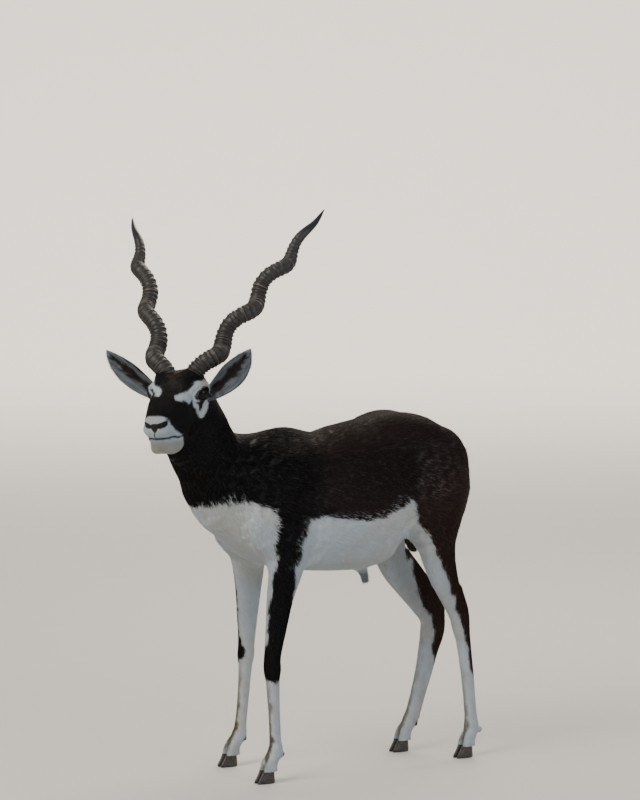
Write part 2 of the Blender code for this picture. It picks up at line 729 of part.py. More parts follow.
def main():
    for thing in list(bpy.data.objects):
        bpy.data.objects.remove(thing)
    flesh = all_lumps()
    body = sculpt("body", flesh, (-0.20, -0.52, 0.0), (0.25, 0.36, 0.93), 0.0040, 6600)
    skull = sculpt("skull", flesh, (-0.05, -0.68, 0.72), (0.20, -0.35, 1.02), 0.0018, 4400)
    tail = sculpt("tail", tail_lumps(), (-0.05, 0.24, 0.58), (0.05, 0.38, 0.80), 0.0020, 220)
    for side, s in SIDES:
        horn("horn_" + side, s)
        ear("ear_" + side, s)
        eye("eye_" + side, s)
    claws()
    nodes = part_flesh(body, skull, tail)
    seat(nodes["head"], nodes["neck"])
    bpy.data.objects.remove(body)
    bpy.data.objects.remove(skull)
    finish()


def finish():
    """Gives each piece its material, sets the animal about the origin and files it in its collection."""
    finishes = {
        "head": (BLACK_COAT, 0.8), "neck": (BLACK_COAT, 0.8), "torso": (BROWN_COAT, 0.8),
        "tail": (BROWN_COAT, 0.8), "foreleg": (WHITE_COAT, 0.85), "hindleg": (WHITE_COAT, 0.85),
        "ear": (BROWN_COAT, 0.8), "horn": (HORN_GREY, 0.5),
        "claw": (HOOF_BLACK, 0.4), "eye": (EYE_BROWN, 0.05),
    }
    group = bpy.data.collections.new("blackbuck")
    bpy.context.scene.collection.children.link(group)
    pieces = list(bpy.data.objects)
    corners = np.array([vert.co for piece in pieces for vert in piece.data.vertices])
    low, high = corners.min(0), corners.max(0)
    shift = Matrix.Translation((-(low[0] + high[0]) / 2, -(low[1] + high[1]) / 2, -low[2]))
    for piece in pieces:
        colour, rough = finishes[piece.name.split("_")[0]]
        piece.data.transform(shift)
        piece.data.materials.clear()
        piece.data.materials.append(coat(piece.name, colour, rough))
        bpy.context.scene.collection.objects.unlink(piece)
        group.objects.link(piece)


main()
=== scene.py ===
import json
import math

import bmesh
import bpy
import numpy as np
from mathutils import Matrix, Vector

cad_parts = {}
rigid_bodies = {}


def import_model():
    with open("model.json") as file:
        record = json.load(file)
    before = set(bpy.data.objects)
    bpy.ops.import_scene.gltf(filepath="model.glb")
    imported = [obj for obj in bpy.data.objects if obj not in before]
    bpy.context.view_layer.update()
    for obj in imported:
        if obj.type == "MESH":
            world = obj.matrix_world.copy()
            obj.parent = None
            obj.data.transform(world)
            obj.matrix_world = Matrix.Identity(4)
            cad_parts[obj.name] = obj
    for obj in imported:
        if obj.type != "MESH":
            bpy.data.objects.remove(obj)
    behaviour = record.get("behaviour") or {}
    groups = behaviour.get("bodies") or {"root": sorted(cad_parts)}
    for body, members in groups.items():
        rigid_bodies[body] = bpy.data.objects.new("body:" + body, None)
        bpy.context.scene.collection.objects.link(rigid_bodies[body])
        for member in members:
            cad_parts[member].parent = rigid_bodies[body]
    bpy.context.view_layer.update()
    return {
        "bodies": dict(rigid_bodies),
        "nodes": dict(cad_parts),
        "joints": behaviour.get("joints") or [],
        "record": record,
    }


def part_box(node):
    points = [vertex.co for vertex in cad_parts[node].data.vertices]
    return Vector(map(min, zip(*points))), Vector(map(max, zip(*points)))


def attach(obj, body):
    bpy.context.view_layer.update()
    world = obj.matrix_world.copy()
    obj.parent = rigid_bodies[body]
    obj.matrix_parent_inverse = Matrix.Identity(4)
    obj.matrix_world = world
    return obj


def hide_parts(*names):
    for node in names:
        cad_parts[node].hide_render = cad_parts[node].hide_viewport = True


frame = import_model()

import openvdb
from mathutils import Euler, Matrix, Vector

# Camera and studio
# The animal stands in a plain studio: a pale floor that sweeps up into a pale wall far behind,
# lit by three broad soft lamps and a wash on the wall. The camera looks at its left front from
# standing height.


def linear(code):
    """A colour as the shaders take it, from its sRGB hex code."""
    parts = [int(code[i : i + 2], 16) / 255 for i in (0, 2, 4)]
    return (*[c / 12.92 if c <= 0.04045 else ((c + 0.055) / 1.055) ** 2.4 for c in parts], 1.0)


def finish_of(name):
    """A new material, with its node tree and its bare shader."""
    material = bpy.data.materials.new(name)
    material.use_nodes = True
    return material, material.node_tree, material.node_tree.nodes["Principled BSDF"]


def stood(name, data):
    """A new object in the scene, at the origin."""
    thing = bpy.data.objects.new(name, data)
    bpy.context.scene.collection.objects.link(thing)
    return thing


# The head's place and turn, and the left eye in the head's own frame. The eye's solid says how
# far all that is measured here has to move to stand round the solids
HEAD_AT = Vector((0.073, -0.497, 0.913))
HEAD_TURN = [math.radians(a) for a in (19.0, -2.0, 39.5)]
EYE_AT = Vector((0.0550, 0.015, -0.0015))
head = Matrix.LocRotScale(HEAD_AT, Euler(HEAD_TURN), None)
low, high = (Vector(corner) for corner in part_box("eye_left"))
placed = Matrix.Translation((low + high) / 2 - head @ EYE_AT)

UP = Vector((0, 0, 1))
CAMERA_AWAY = 8.489
CAMERA_HEIGHT = 1.72
CAMERA_LEFT = 0.0503
CAMERA_DOWN = math.radians(5.727)
look = Vector((-0.8387, 0.5446, 0.0))
right = look.cross(UP)
camera = stood("camera", bpy.data.cameras.new("camera"))
camera.data.sensor_fit = "AUTO"
camera.data.sensor_width = 36.0
camera.data.lens = 163.3
aim = (look * math.cos(CAMERA_DOWN) - UP * math.sin(CAMERA_DOWN)).normalized()
stand = placed @ (UP * CAMERA_HEIGHT - look * CAMERA_AWAY - right * CAMERA_LEFT)
camera.matrix_world = Matrix.LocRotScale(stand, aim.to_track_quat("-Z", "Y"), None)
bpy.context.scene.camera = camera

STUDIO_HALF = 14.0
WALL_AT = 10.0
WALL_BEND = 2.5
WALL_TOP = 12.0
path = [(-STUDIO_HALF, 0.0), (WALL_AT, 0.0)]
path += [(WALL_AT + WALL_BEND * math.sin(a), WALL_BEND - WALL_BEND * math.cos(a))
         for a in np.linspace(0.1, math.pi / 2, 14)]
path.append((WALL_AT + WALL_BEND, WALL_TOP))
sweep = bmesh.new()
rows = [[sweep.verts.new(look * along + right * side + UP * up) for side in (-STUDIO_HALF, STUDIO_HALF)]
        for along, up in path]
for near, far in zip(rows, rows[1:]):
    sweep.faces.new((near[0], near[1], far[1], far[0]))
mesh = bpy.data.meshes.new("floor")
sweep.to_mesh(mesh)
sweep.free()
mesh.shade_smooth()
floor = stood("floor", mesh)
# Matt studio paper, rolled smooth: it spreads light evenly and shows no grain at this distance
paper, tree, shader = finish_of("studio paper")
shader.inputs["Base Color"].default_value = linear("D2CFC9")
shader.inputs["Roughness"].default_value = 0.9
shader.inputs["Specular IOR Level"].default_value = 0.2
mesh.materials.append(paper)


def lamp(name, place, size, power, tint, target=UP * 0.65):
    """A broad soft lamp that faces the animal's middle, or the target if it is given."""
    light = bpy.data.lights.new(name, "AREA")
    light.shape = "RECTANGLE"
    light.size, light.size_y = size
    light.energy = power
    light.color = linear(tint)[:3]
    turn = (target - place).to_track_quat("-Z", "Y")
    stood(name, light).matrix_world = Matrix.LocRotScale(place, turn, None)


lamp("key", look * -2.6 + right * -2.6 + UP * 3.6, (2.6, 2.6), 190, "FFF8EE")
lamp("fill", look * -3.2 + right * 3.0 + UP * 1.9, (3.0, 2.4), 60, "EAF1FF")
lamp("rim", look * 2.2 + right * 1.2 + UP * 3.2, (2.4, 2.0), 85, "FFF3E2")
lamp("wall wash", look * 9.0 + UP * 7.0, (STUDIO_HALF, 3.0), 1700, "FFF8EE", look * 12.0 + UP * 2.0)
world = bpy.data.worlds.new("studio")
bpy.context.scene.world = world
world.use_nodes = True
sky = world.node_tree.nodes["Background"]
sky.inputs["Color"].default_value = linear("E9EDF2")
sky.inputs["Strength"].default_value = 0.45

# Skin
# One hide over bones and muscles, from the nose to the tail and down to the hooves. Each bone
# or muscle is a soft lump in a field of distances, and the hide is meshed where the field is
# as deep as the coat is thick, finely on the head and more coarsely behind it.

WITHERS = 0.807
CROUP = 0.831
BELLY = 0.466
# Torso, from the chest back: distance tailward, top, bottom and half the width of each section
TORSO = (
    (-0.412, WITHERS - 0.110, 0.665, 0.020),
    (-0.395, WITHERS - 0.085, 0.640, 0.048),
    (-0.360, WITHERS - 0.060, 0.595, 0.070),
    (-0.310, WITHERS - 0.030, 0.545, 0.088),
    (-0.260, WITHERS - 0.014, 0.508, 0.100),
    (-0.170, WITHERS - 0.002, 0.482, 0.114),
    (-0.100, WITHERS - 0.012, BELLY + 0.006, 0.127),
    (-0.030, CROUP - 0.022, BELLY, 0.136),
    (0.040, CROUP - 0.010, BELLY, 0.138),
    (0.100, CROUP - 0.002, BELLY + 0.018, 0.132),
    (0.150, CROUP, BELLY + 0.078, 0.113),
    (0.182, CROUP - 0.006, BELLY + 0.128, 0.108),
    (0.210, CROUP - 0.016, 0.616, 0.104),
    (0.265, CROUP - 0.050, 0.618, 0.088),
    (0.300, CROUP - 0.090, 0.630, 0.064),
    (0.318, CROUP - 0.125, 0.650, 0.030),
)

# Head, in its own frame with its middle between the eyes and the nose at -Y: as the torso
HEAD = (
    (0.098, -0.004, -0.030, 0.012),
    (0.085, 0.010, -0.052, 0.028),
    (0.050, 0.024, -0.078, 0.041),
    (0.010, 0.035, -0.093, 0.046),
    (-0.025, 0.038, -0.098, 0.046),
    (-0.060, 0.034, -0.100, 0.0455),
    (-0.095, 0.027, -0.099, 0.0395),
    (-0.125, 0.019, -0.083, 0.0330),
    (-0.145, 0.010, -0.068, 0.0265),
    (-0.154, 0.001, -0.052, 0.0180),
    (-0.158, -0.008, -0.036, 0.0080),
)
EYE_RADIUS = 0.0185
EYE_TURN = 26.0

# Legs from the trunk down: height, half the width and half the depth of each section
FORELEG = (
    (0.620, 0.046, 0.064),
    (0.550, 0.040, 0.056),
    (0.490, 0.032, 0.044),
    (0.430, 0.0260, 0.0340),
    (0.350, 0.0210, 0.0255),
    (0.295, 0.0190, 0.0205),
    (0.265, 0.0195, 0.0210),
    (0.235, 0.0155, 0.0170),
    (0.165, 0.0125, 0.0145),
    (0.100, 0.0125, 0.0145),
    (0.074, 0.0165, 0.0180),
    (0.052, 0.0150, 0.0150),
)
HINDLEG = (
    (0.650, 0.050, 0.086),
    (0.570, 0.045, 0.065),
    (0.510, 0.038, 0.048),
    (0.450, 0.0290, 0.0385),
    (0.395, 0.0200, 0.0300),
    (0.352, 0.0170, 0.0235),
    (0.320, 0.0180, 0.0230),
    (0.285, 0.0155, 0.0190),
    (0.190, 0.0130, 0.0165),
    (0.105, 0.0130, 0.0160),
    (0.076, 0.0165, 0.0185),
    (0.052, 0.0150, 0.0150),
)

# Stance: the way of each leg from the trunk down, as height, distance outward and tailward
FORE_WAY = {
    1: ((0.620, 0.080, -0.240), (0.545, 0.085, -0.204), (0.430, 0.088, -0.227), (0.350, 0.090, -0.241),
        (0.280, 0.090, -0.250), (0.165, 0.090, -0.245), (0.074, 0.090, -0.242), (0.052, 0.090, -0.252)),
    -1: ((0.620, 0.080, -0.240), (0.545, 0.086, -0.208), (0.430, 0.102, -0.195), (0.350, 0.111, -0.193),
         (0.280, 0.119, -0.191), (0.165, 0.123, -0.197), (0.074, 0.124, -0.208), (0.052, 0.124, -0.222)),
}
HIND_WAY = {
    1: ((0.650, 0.072, 0.216), (0.540, 0.085, 0.211), (0.450, 0.087, 0.231), (0.390, 0.088, 0.256),
        (0.320, 0.088, 0.283), (0.214, 0.090, 0.300), (0.074, 0.090, 0.314), (0.052, 0.090, 0.309)),
    -1: ((0.650, 0.072, 0.216), (0.540, 0.084, 0.188), (0.450, 0.082, 0.206), (0.390, 0.076, 0.244),
         (0.345, 0.070, 0.275), (0.310, 0.068, 0.296), (0.190, 0.060, 0.272), (0.074, 0.055, 0.235),
         (0.052, 0.055, 0.222)),
}

# Heel bone and the tendon below it: distance outward and tailward, height, half width and half depth
HEEL = {
    1: ((0.088, 0.274, 0.410, 0.0080, 0.0090), (0.088, 0.292, 0.350, 0.0115, 0.0115),
        (0.088, 0.280, 0.305, 0.0105, 0.0100)),
    -1: ((0.078, 0.236, 0.480, 0.0100, 0.0120), (0.073, 0.278, 0.405, 0.0120, 0.0250),
         (0.069, 0.312, 0.350, 0.0115, 0.0290), (0.068, 0.324, 0.315, 0.0115, 0.0215),
         (0.066, 0.321, 0.280, 0.0105, 0.0210), (0.063, 0.302, 0.235, 0.0100, 0.0195),
         (0.060, 0.292, 0.185, 0.0095, 0.0100), (0.057, 0.268, 0.130, 0.0095, 0.0100),
         (0.055, 0.250, 0.085, 0.0100, 0.0100)),
}

# Horns, in the head's frame: where the left one's axis starts, the middle of the bony stub that
# carries it, and both tips
HORN_ROOT = Vector((0.0355, 0.0305, 0.0228))
HORN_FOOT = Vector((0.0285, 0.0330, 0.0225))
HORN_TIPS = {1: Vector((0.2430, 0.5040, 0.2465)), -1: Vector((-0.2370, 0.5035, 0.2360))}


def fan(rows, steps):
    """Rows of numbers, made smooth: each span between two rows is split into steps (Catmull-Rom)."""
    rows = np.array(rows, float)
    padded = np.vstack([2 * rows[0] - rows[1], rows, 2 * rows[-1] - rows[-2]])
    found = []
    for before, here, there, after in zip(padded, padded[1:], padded[2:], padded[3:]):
        for t in np.arange(steps) / steps:
            bend = 2 * before - 5 * here + 4 * there - after
            twist = 3 * here - before - 3 * there + after
            found.append(0.5 * (2 * here + (there - before) * t + bend * t**2 + twist * t**3))
    found.append(rows[-1])
    return np.array(found)


class Lump:
    """One soft shape: how far a point is from its skin, the box that it can change, and its blend."""

    REACH = 0.045

    def __init__(self, distance, low, high, blend, carves=False):
        self.distance = distance
        self.low = np.array(low) - self.REACH
        self.high = np.array(high) + self.REACH
        self.blend = blend
        self.carves = carves


def local_to(frame, x, y, z):
    """The points of a grid in the coordinates of a frame."""
    back = np.array(frame.inverted(), np.float32)
    return [row[0] * x + row[1] * y + row[2] * z + row[3] for row in back[:3]]


def oval(centre, radii, blend, turn=(0, 0, 0), frame=Matrix.Identity(4), carves=False):
    """An ellipsoid. turn is in degrees about its own X, Y and Z, and frame places it."""
    place = frame @ Matrix.LocRotScale(centre, Euler([math.radians(a) for a in turn]), None)
    radii = np.array(radii, np.float32)
    middle = np.array(place.translation)
    spread = np.sqrt(np.array(place.to_3x3()) ** 2 @ radii**2)

    def distance(x, y, z):
        local = local_to(place, x, y, z)
        near = np.sqrt(sum((c / r) ** 2 for c, r in zip(local, radii))) + 1e-6
        slope = np.sqrt(sum((c / r**2) ** 2 for c, r in zip(local, radii))) + 1e-6
        return near * (near - 1) / slope

    return Lump(distance, middle - spread, middle + spread, blend, carves)


def loft(rows, blend, frame=Matrix.Identity(4), power=2.0, pear=0.0):
    """A trunk along the frame's Y through rows of (y, top, bottom, half width), symmetric in X.

    power over 2 squares its sections, and pear widens their upper half by that share.
    """
    rows = fan(rows, 12)
    rows = rows[np.argsort(rows[:, 0])]
    corners = [(s * rows[:, 3].max(), y, z) for s in (-1, 1) for y in rows[[0, -1], 0]
               for z in (rows[:, 2].min(), rows[:, 1].max())]
    corners = np.array([frame @ Vector(corner) for corner in corners])

    def distance(x, y, z):
        wide, along, high = local_to(frame, x, y, z)
        top, bottom, half = (np.interp(along, rows[:, 0], rows[:, i]).astype(np.float32) for i in (1, 2, 3))
        tall = (top - bottom) / 2
        high = high - (top + bottom) / 2
        half = half * (1 + pear * np.clip(high / tall, -1, 1))
        share = (np.abs(wide / half) ** power + np.abs(high / tall) ** power) ** (1 / power) + 1e-5
        skin = np.sqrt(wide**2 + high**2) * (1 - 1 / share)
        beyond = along - np.clip(along, rows[0, 0], rows[-1, 0])
        return np.where(beyond == 0, skin, np.sqrt(np.maximum(skin, 0) ** 2 + beyond**2))

    return Lump(distance, corners.min(0), corners.max(0), blend)


def limb(rows, blend, frame=Matrix.Identity(4), steps=5, carves=False):
    """A tube through rows of (x, y, z, half width, half depth). Its width lies along the frame's X."""
    rows = fan(rows, steps)
    points = np.array([frame @ Vector(row[:3]) for row in rows])
    side = np.array(frame.to_3x3() @ Vector((1, 0, 0)))
    sizes = rows[:, 3:5]
    most = sizes.max(1)[:, None]

    def piece(x, y, z, i):
        """How far points are from the piece of tube between rows i and i + 1."""
        start, run = points[i], points[i + 1] - points[i]
        length = np.linalg.norm(run)
        along = run / length
        across = side - along * (side @ along)
        across /= np.linalg.norm(across)
        deep = np.cross(along, across)
        away = [x - start[0], y - start[1], z - start[2]]
        went = sum(a * b for a, b in zip(away, along))
        t = np.clip(went / length, 0, 1)
        beyond = went - t * length
        half_width = sizes[i, 0] + (sizes[i + 1, 0] - sizes[i, 0]) * t
        half_depth = sizes[i, 1] + (sizes[i + 1, 1] - sizes[i, 1]) * t
        wide = sum(a * b for a, b in zip(away, across))
        tall = sum(a * b for a, b in zip(away, deep))
        least = np.minimum(half_width, half_depth)
        share = np.sqrt((wide / half_width) ** 2 + (tall / half_depth) ** 2 + (beyond / least) ** 2) + 1e-5
        return np.sqrt(wide**2 + tall**2 + beyond**2) * (1 - 1 / share)

    def distance(x, y, z):
        found = np.full(np.broadcast(x, y, z).shape, 1.0, np.float32)
        for i in range(len(points) - 1):
            room = sizes[i : i + 2].max() + Lump.REACH
            low, high = points[i : i + 2].min(0) - room, points[i : i + 2].max(0) + room
            window = window_of((x.ravel(), y.ravel(), z.ravel()), low, high)
            if window:
                part = piece(x[window[0]], y[:, window[1]], z[:, :, window[2]], i)
                found[window] = np.minimum(found[window], part)
        return found

    return Lump(distance, (points - most).min(0), (points + most).max(0), blend, carves)


def window_of(axes, low, high):
    """The slices of a grid's axes that lie between two corners, or nothing."""
    window = tuple(slice(*np.searchsorted(axis, (a, b))) for axis, a, b in zip(axes, low, high))
    return window if all(s.stop > s.start for s in window) else None


def melt(lumps, axes):
    """The field of distances of all lumps, on the grid of these axes."""
    field = np.full([len(axis) for axis in axes], 1.0, np.float32)
    for lump in lumps:
        window = window_of(axes, lump.low, lump.high)
        if not window:
            continue
        x, y, z = (axis[s] for axis, s in zip(axes, window))
        new = lump.distance(x[:, None, None], y[None, :, None], z[None, None, :])
        old = field[window]
        if lump.carves:
            old = -old
        share = np.clip(0.5 + 0.5 * (old - new) / lump.blend, 0, 1)
        mixed = old * (1 - share) + new * share - lump.blend * share * (1 - share)
        field[window] = -mixed if lump.carves else mixed
    return field


def torso_lumps():
    lumps = [loft(TORSO, 0.001, power=2.25, pear=-0.06)]
    lumps.append(oval((0, -0.170, WITHERS - 0.060), (0.032, 0.105, 0.064), 0.030))
    lumps.append(oval((0, -0.345, 0.660), (0.060, 0.045, 0.070), 0.040))
    for s in (-1, 1):
        lumps.append(oval((s * 0.080, -0.225, 0.640), (0.040, 0.075, 0.125), 0.030, turn=(-18, 0, 0)))
        lumps.append(oval((s * 0.066, 0.215, 0.660), (0.056, 0.095, 0.140), 0.040, turn=(-15, 0, 0)))
        lumps.append(oval((s * 0.060, 0.150, CROUP - 0.042), (0.040, 0.060, 0.036), 0.050))
        lumps.append(oval((s * 0.042, 0.282, 0.700), (0.034, 0.036, 0.060), 0.030))
        lumps.append(oval((s * 0.112, 0.130, 0.528), (0.040, 0.042, 0.054), 0.022, carves=True))
    sheath = [
        (0, 0.040, 0.485, 0.014, 0.022),
        (0, 0.060, 0.458, 0.011, 0.013),
        (0, 0.066, 0.435, 0.0075, 0.0085),
    ]
    lumps.append(limb(sheath, 0.012))
    lumps.append(oval((0, 0.205, 0.545), (0.023, 0.026, 0.052), 0.010))
    return lumps


def leg_lumps(shape, way, side):
    """A leg of that shape along its way, with its toes and dewclaws."""
    heights, halves, depths = np.array(shape).T
    path = fan(way, 8)[::-1]
    across = side * np.interp(heights, path[:, 0], path[:, 1])
    along = np.interp(heights, path[:, 0], path[:, 2])
    rows = list(zip(across, along, heights, halves, depths))
    return [limb(rows, 0.035)] + toe_lumps(*foot_of(way, side))


def foot_of(way, side):
    """Where the middle of a hoof stands."""
    _, across, along = way[-1]
    return side * across, along - 0.008


def foreleg_lumps(side):
    return leg_lumps(FORELEG, FORE_WAY[side], side)


def hindleg_lumps(side):
    heel = [(side * x, y, z, wide, deep) for x, y, z, wide, deep in HEEL[side]]
    return leg_lumps(HINDLEG, HIND_WAY[side], side) + [limb(heel, 0.014)]


def toe_lumps(x, y):
    """The two short toes above the claws, and the pair of dewclaws behind them."""
    lumps = []
    for s in (-1, 1):
        toe = [
            (x + s * 0.0075, y + 0.012, 0.062, 0.0090, 0.0125),
            (x + s * 0.0098, y + 0.002, 0.044, 0.0090, 0.0155),
            (x + s * 0.0104, y - 0.002, 0.020, 0.0095, 0.0190),
        ]
        lumps.append(limb(toe, 0.004))
        lumps.append(oval((x + s * 0.010, y + 0.031, 0.066), (0.0055, 0.0070, 0.0080), 0.004))
    return lumps


def neck_lumps():
    nape = head @ Vector((0, 0.050, -0.012))
    throat = head @ Vector((0, 0.030, -0.034))
    rows = [
        (0.000, -0.250, 0.670, 0.082, 0.112),
        (0.004, -0.329, 0.716, 0.073, 0.100),
        (0.012, -0.376, 0.758, 0.065, 0.087),
        (0.020, -0.410, 0.812, 0.059, 0.084),
        (0.028, -0.434, 0.860, 0.053, 0.076),
        (*nape, 0.045, 0.060),
    ]
    return [limb(rows, 0.040), oval(throat, (0.042, 0.055, 0.060), 0.030)]


def head_lumps():
    lumps = [loft(HEAD, 0.025, frame=head, power=2.2, pear=0.22)]

    def pair(point, radii, blend, turn=(0, 0, 0), carves=False):
        for s in (-1, 1):
            there = (s * point[0], point[1], point[2])
            lumps.append(oval(there, radii, blend, (turn[0], s * turn[1], s * turn[2]), head, carves))

    pair((0.032, 0.020, -0.047), (0.016, 0.036, 0.034), 0.015)
    pair((0.045, 0.018, -0.024), (0.014, 0.034, 0.010), 0.012)
    pair((0.041, 0.008, 0.019), (0.018, 0.024, 0.012), 0.012, turn=(0, 20, 0))
    pair((0.0515, 0.038, -0.002), (0.0180, 0.0190, 0.0230), 0.010)
    pair((0.0165, -0.144, -0.003), (0.0125, 0.0130, 0.0105), 0.006)
    pair((0.0165, -0.131, -0.022), (0.0190, 0.0250, 0.0140), 0.007)
    lumps.append(oval((0, -0.149, -0.006), (0.0130, 0.0100, 0.0130), 0.006, frame=head))
    lumps.append(oval((0, -0.122, -0.062), (0.0260, 0.0290, 0.0200), 0.008, frame=head))
    pair((0.0190, -0.090, -0.080), (0.0165, 0.0400, 0.0150), 0.020)
    pair(EYE_AT, [EYE_RADIUS + 0.0030] * 3, 0.010)
    for s in (-1, 1):
        foot = HORN_FOOT * Vector((s, 1, 1))
        way = (HORN_TIPS[s] - HORN_ROOT * Vector((s, 1, 1))).normalized()
        stub = [(*(foot - way * 0.022), 0.0245, 0.0245), (*(foot + way * 0.006), 0.0250, 0.0250)]
        lumps.append(limb(stub, 0.012, frame=head))
        mouth = [
            (s * 0.000, -0.161, -0.034, 0.0016, 0.0016),
            (s * 0.020, -0.152, -0.037, 0.0020, 0.0020),
            (s * 0.033, -0.124, -0.046, 0.0020, 0.0020),
            (s * 0.040, -0.088, -0.060, 0.0014, 0.0014),
        ]
        nostril = [
            (s * 0.010, -0.160, -0.008, 0.0034, 0.0028),
            (s * 0.018, -0.155, -0.004, 0.0055, 0.0042),
            (s * 0.026, -0.145, -0.003, 0.0034, 0.0034),
        ]
        lumps.append(limb(mouth, 0.0016, frame=head, carves=True))
        lumps.append(limb(nostril, 0.0020, frame=head, carves=True))
    facing = Matrix.Rotation(math.radians(-EYE_TURN), 3, "Z") @ Vector((0.0170, 0, 0))
    pair(EYE_AT + facing, (0.0165, 0.0186, 0.0138), 0.003, turn=(0, 0, -EYE_TURN), carves=True)
    return lumps


def tail_lumps():
    rows = [
        (0.000, 0.270, 0.755, 0.020, 0.018),
        (0.000, 0.312, 0.742, 0.019, 0.015),
        (0.000, 0.338, 0.700, 0.018, 0.011),
        (0.000, 0.345, 0.650, 0.014, 0.009),
        (0.000, 0.346, 0.610, 0.007, 0.005),
    ]
    return [limb(rows, 0.010)]


# Rims of the upper and the lower lid: distance tailward and up from the middle of the eye, and girth
FRONT_CORNER, REAR_CORNER = (-0.0200, -0.0050), (0.0195, 0.0010)
LIDS = (
    ((FRONT_CORNER, (-0.0120, 0.0095), (0.0000, 0.0142), (0.0120, 0.0112), REAR_CORNER), 0.0021),
    ((FRONT_CORNER, (-0.0115, -0.0120), (0.0010, -0.0142), (0.0120, -0.0100), REAR_CORNER), 0.0017),
)


def face_lumps():
    """What the head's solid leaves out: the rims of the lids and the gland's slit."""
    lumps = []
    for s in (-1, 1):
        for rim, girth in LIDS:
            rows = []
            for along, up in rim:
                out = math.sqrt(max(EYE_RADIUS**2 - (along * 0.88) ** 2 - up**2, 1e-6)) + 0.0002
                turn = Matrix.Rotation(math.radians(-EYE_TURN), 3, "Z")
                x, y, z = EYE_AT + turn @ Vector((out, along, up))
                rows.append((s * x, y, z, girth, girth))
            lumps.append(limb(rows, 0.0016, frame=head))
        gland = [
            (s * 0.0555, -0.0075, -0.0190, 0.0012, 0.0012),
            (s * 0.0545, -0.0015, -0.0300, 0.0028, 0.0028),
            (s * 0.0520, 0.0045, -0.0410, 0.0010, 0.0010),
        ]
        lumps.append(limb(gland, 0.0020, frame=head, carves=True))
    return lumps


def hair_depth(x, y, z):
    """How deep the hide lies under the tips of the hair."""
    from_head = np.sqrt((x - HEAD_AT.x) ** 2 + (y - HEAD_AT.y) ** 2 + (z - HEAD_AT.z) ** 2)
    on_body = np.interp(z, [0.08, 0.40, 0.52], [0.0006, 0.0012, 0.0024])
    return np.minimum(on_body, np.interp(from_head, [0.12, 0.20], [0.0008, 0.0024])).astype(np.float32)


def surface_of(lumps, low, high, step, thrift=0.0, depth=None):
    """The points and faces where the lumps' field is zero, or as deep as depth says.

    Flat parts get larger faces for thrift.
    """
    axes = [np.arange(a, b + step, step, dtype=np.float32) for a, b in zip(low, high)]
    field = melt(lumps, axes)
    if depth:
        field += depth(axes[0][:, None, None], axes[1][None, :, None], axes[2][None, None, :])
    for axis in range(3):
        np.moveaxis(field, axis, 0)[[0, -1]] = step
    grid = openvdb.FloatGrid(1.0)
    grid.copyFromArray(field)
    place = np.diag([step, step, step, 1.0])
    place[3, :3] = low
    grid.transform = openvdb.createLinearTransform(place.tolist())
    points, triangles, quads = grid.convertToPolygons(0.0, thrift)
    return points, [tuple(face) for face in quads] + [tuple(face) for face in triangles]


def hide_part(box, step, thrift, point, way):
    """The hide in a box, without what lies past a plane, as an open form."""
    points, faces = surface_of(flesh, *box, step, thrift, hair_depth)
    mesh = bpy.data.meshes.new("hide")
    mesh.from_pydata(points, [], faces)
    form = bmesh.new()
    form.from_mesh(mesh)
    bpy.data.meshes.remove(mesh)
    geometry = form.verts[:] + form.edges[:] + form.faces[:]
    bmesh.ops.bisect_plane(form, geom=geometry, plane_co=point, plane_no=way, clear_outer=True)
    return form


flesh = torso_lumps() + tail_lumps()
for side in (1, -1):
    flesh += foreleg_lumps(side) + hindleg_lumps(side)
flesh += neck_lumps() + head_lumps() + face_lumps()
# The fine and the coarse part meet round the neck, at the collar, across a gap that is bridged
collar, up_neck = Vector((0.020, -0.405, 0.806)), Vector((0.016, -0.058, 0.102)).normalized()
COLLAR_GAP = 0.003
CORONET = 0.030
HEAD_BOX = ((-0.06, -0.69, 0.70), (0.21, -0.31, 1.02))
HEAD_STEP = 0.0017
BODY_BOX = ((-0.20, -0.52, 0.0), (0.25, 0.37, 0.93))
BODY_STEP = 0.0040
BODY_THRIFT = 0.05
top = hide_part(HEAD_BOX, HEAD_STEP, 0.0, collar + up_neck * COLLAR_GAP, -up_neck)
form = hide_part(BODY_BOX, BODY_STEP, BODY_THRIFT, collar - up_neck * COLLAR_GAP, up_neck)
mesh = bpy.data.meshes.new("skin")
top.to_mesh(mesh)
top.free()
form.from_mesh(mesh)
bmesh.ops.bridge_loops(form, edges=[edge for edge in form.edges if edge.is_boundary])
around = [vert for vert in form.verts if abs((vert.co - collar).dot(up_neck)) < COLLAR_GAP * 3]
for _ in range(4):
    bmesh.ops.smooth_vert(form, verts=around, factor=0.5, use_axis_x=True, use_axis_y=True, use_axis_z=True)
# The toes end flat, just inside the tops of the claws
for vert in form.verts:
    if vert.co.z < CORONET + 0.001:
        vert.co.z = max(vert.co.z, CORONET - 0.002)
bmesh.ops.recalc_face_normals(form, faces=form.faces)
form.to_mesh(mesh)
form.free()
mesh.shade_smooth()
skin = stood("skin", mesh)


def soft(value, width=0.004):
    """0 where a distance is below nothing and 1 above it, softened over a width."""
    share = np.clip(value / width + 0.5, 0, 1)
    return share * share * (3 - 2 * share)


def ripple(points, size, seed):
    """A smooth random height, mostly between -1 and 1, with lumps of about that size."""
    chance = np.random.default_rng(seed)
    ways = chance.normal(size=(18, 3)) * (2.4 / size)
    return np.sin(points @ ways.T + chance.uniform(0, math.tau, 18)).sum(1) / 3.0


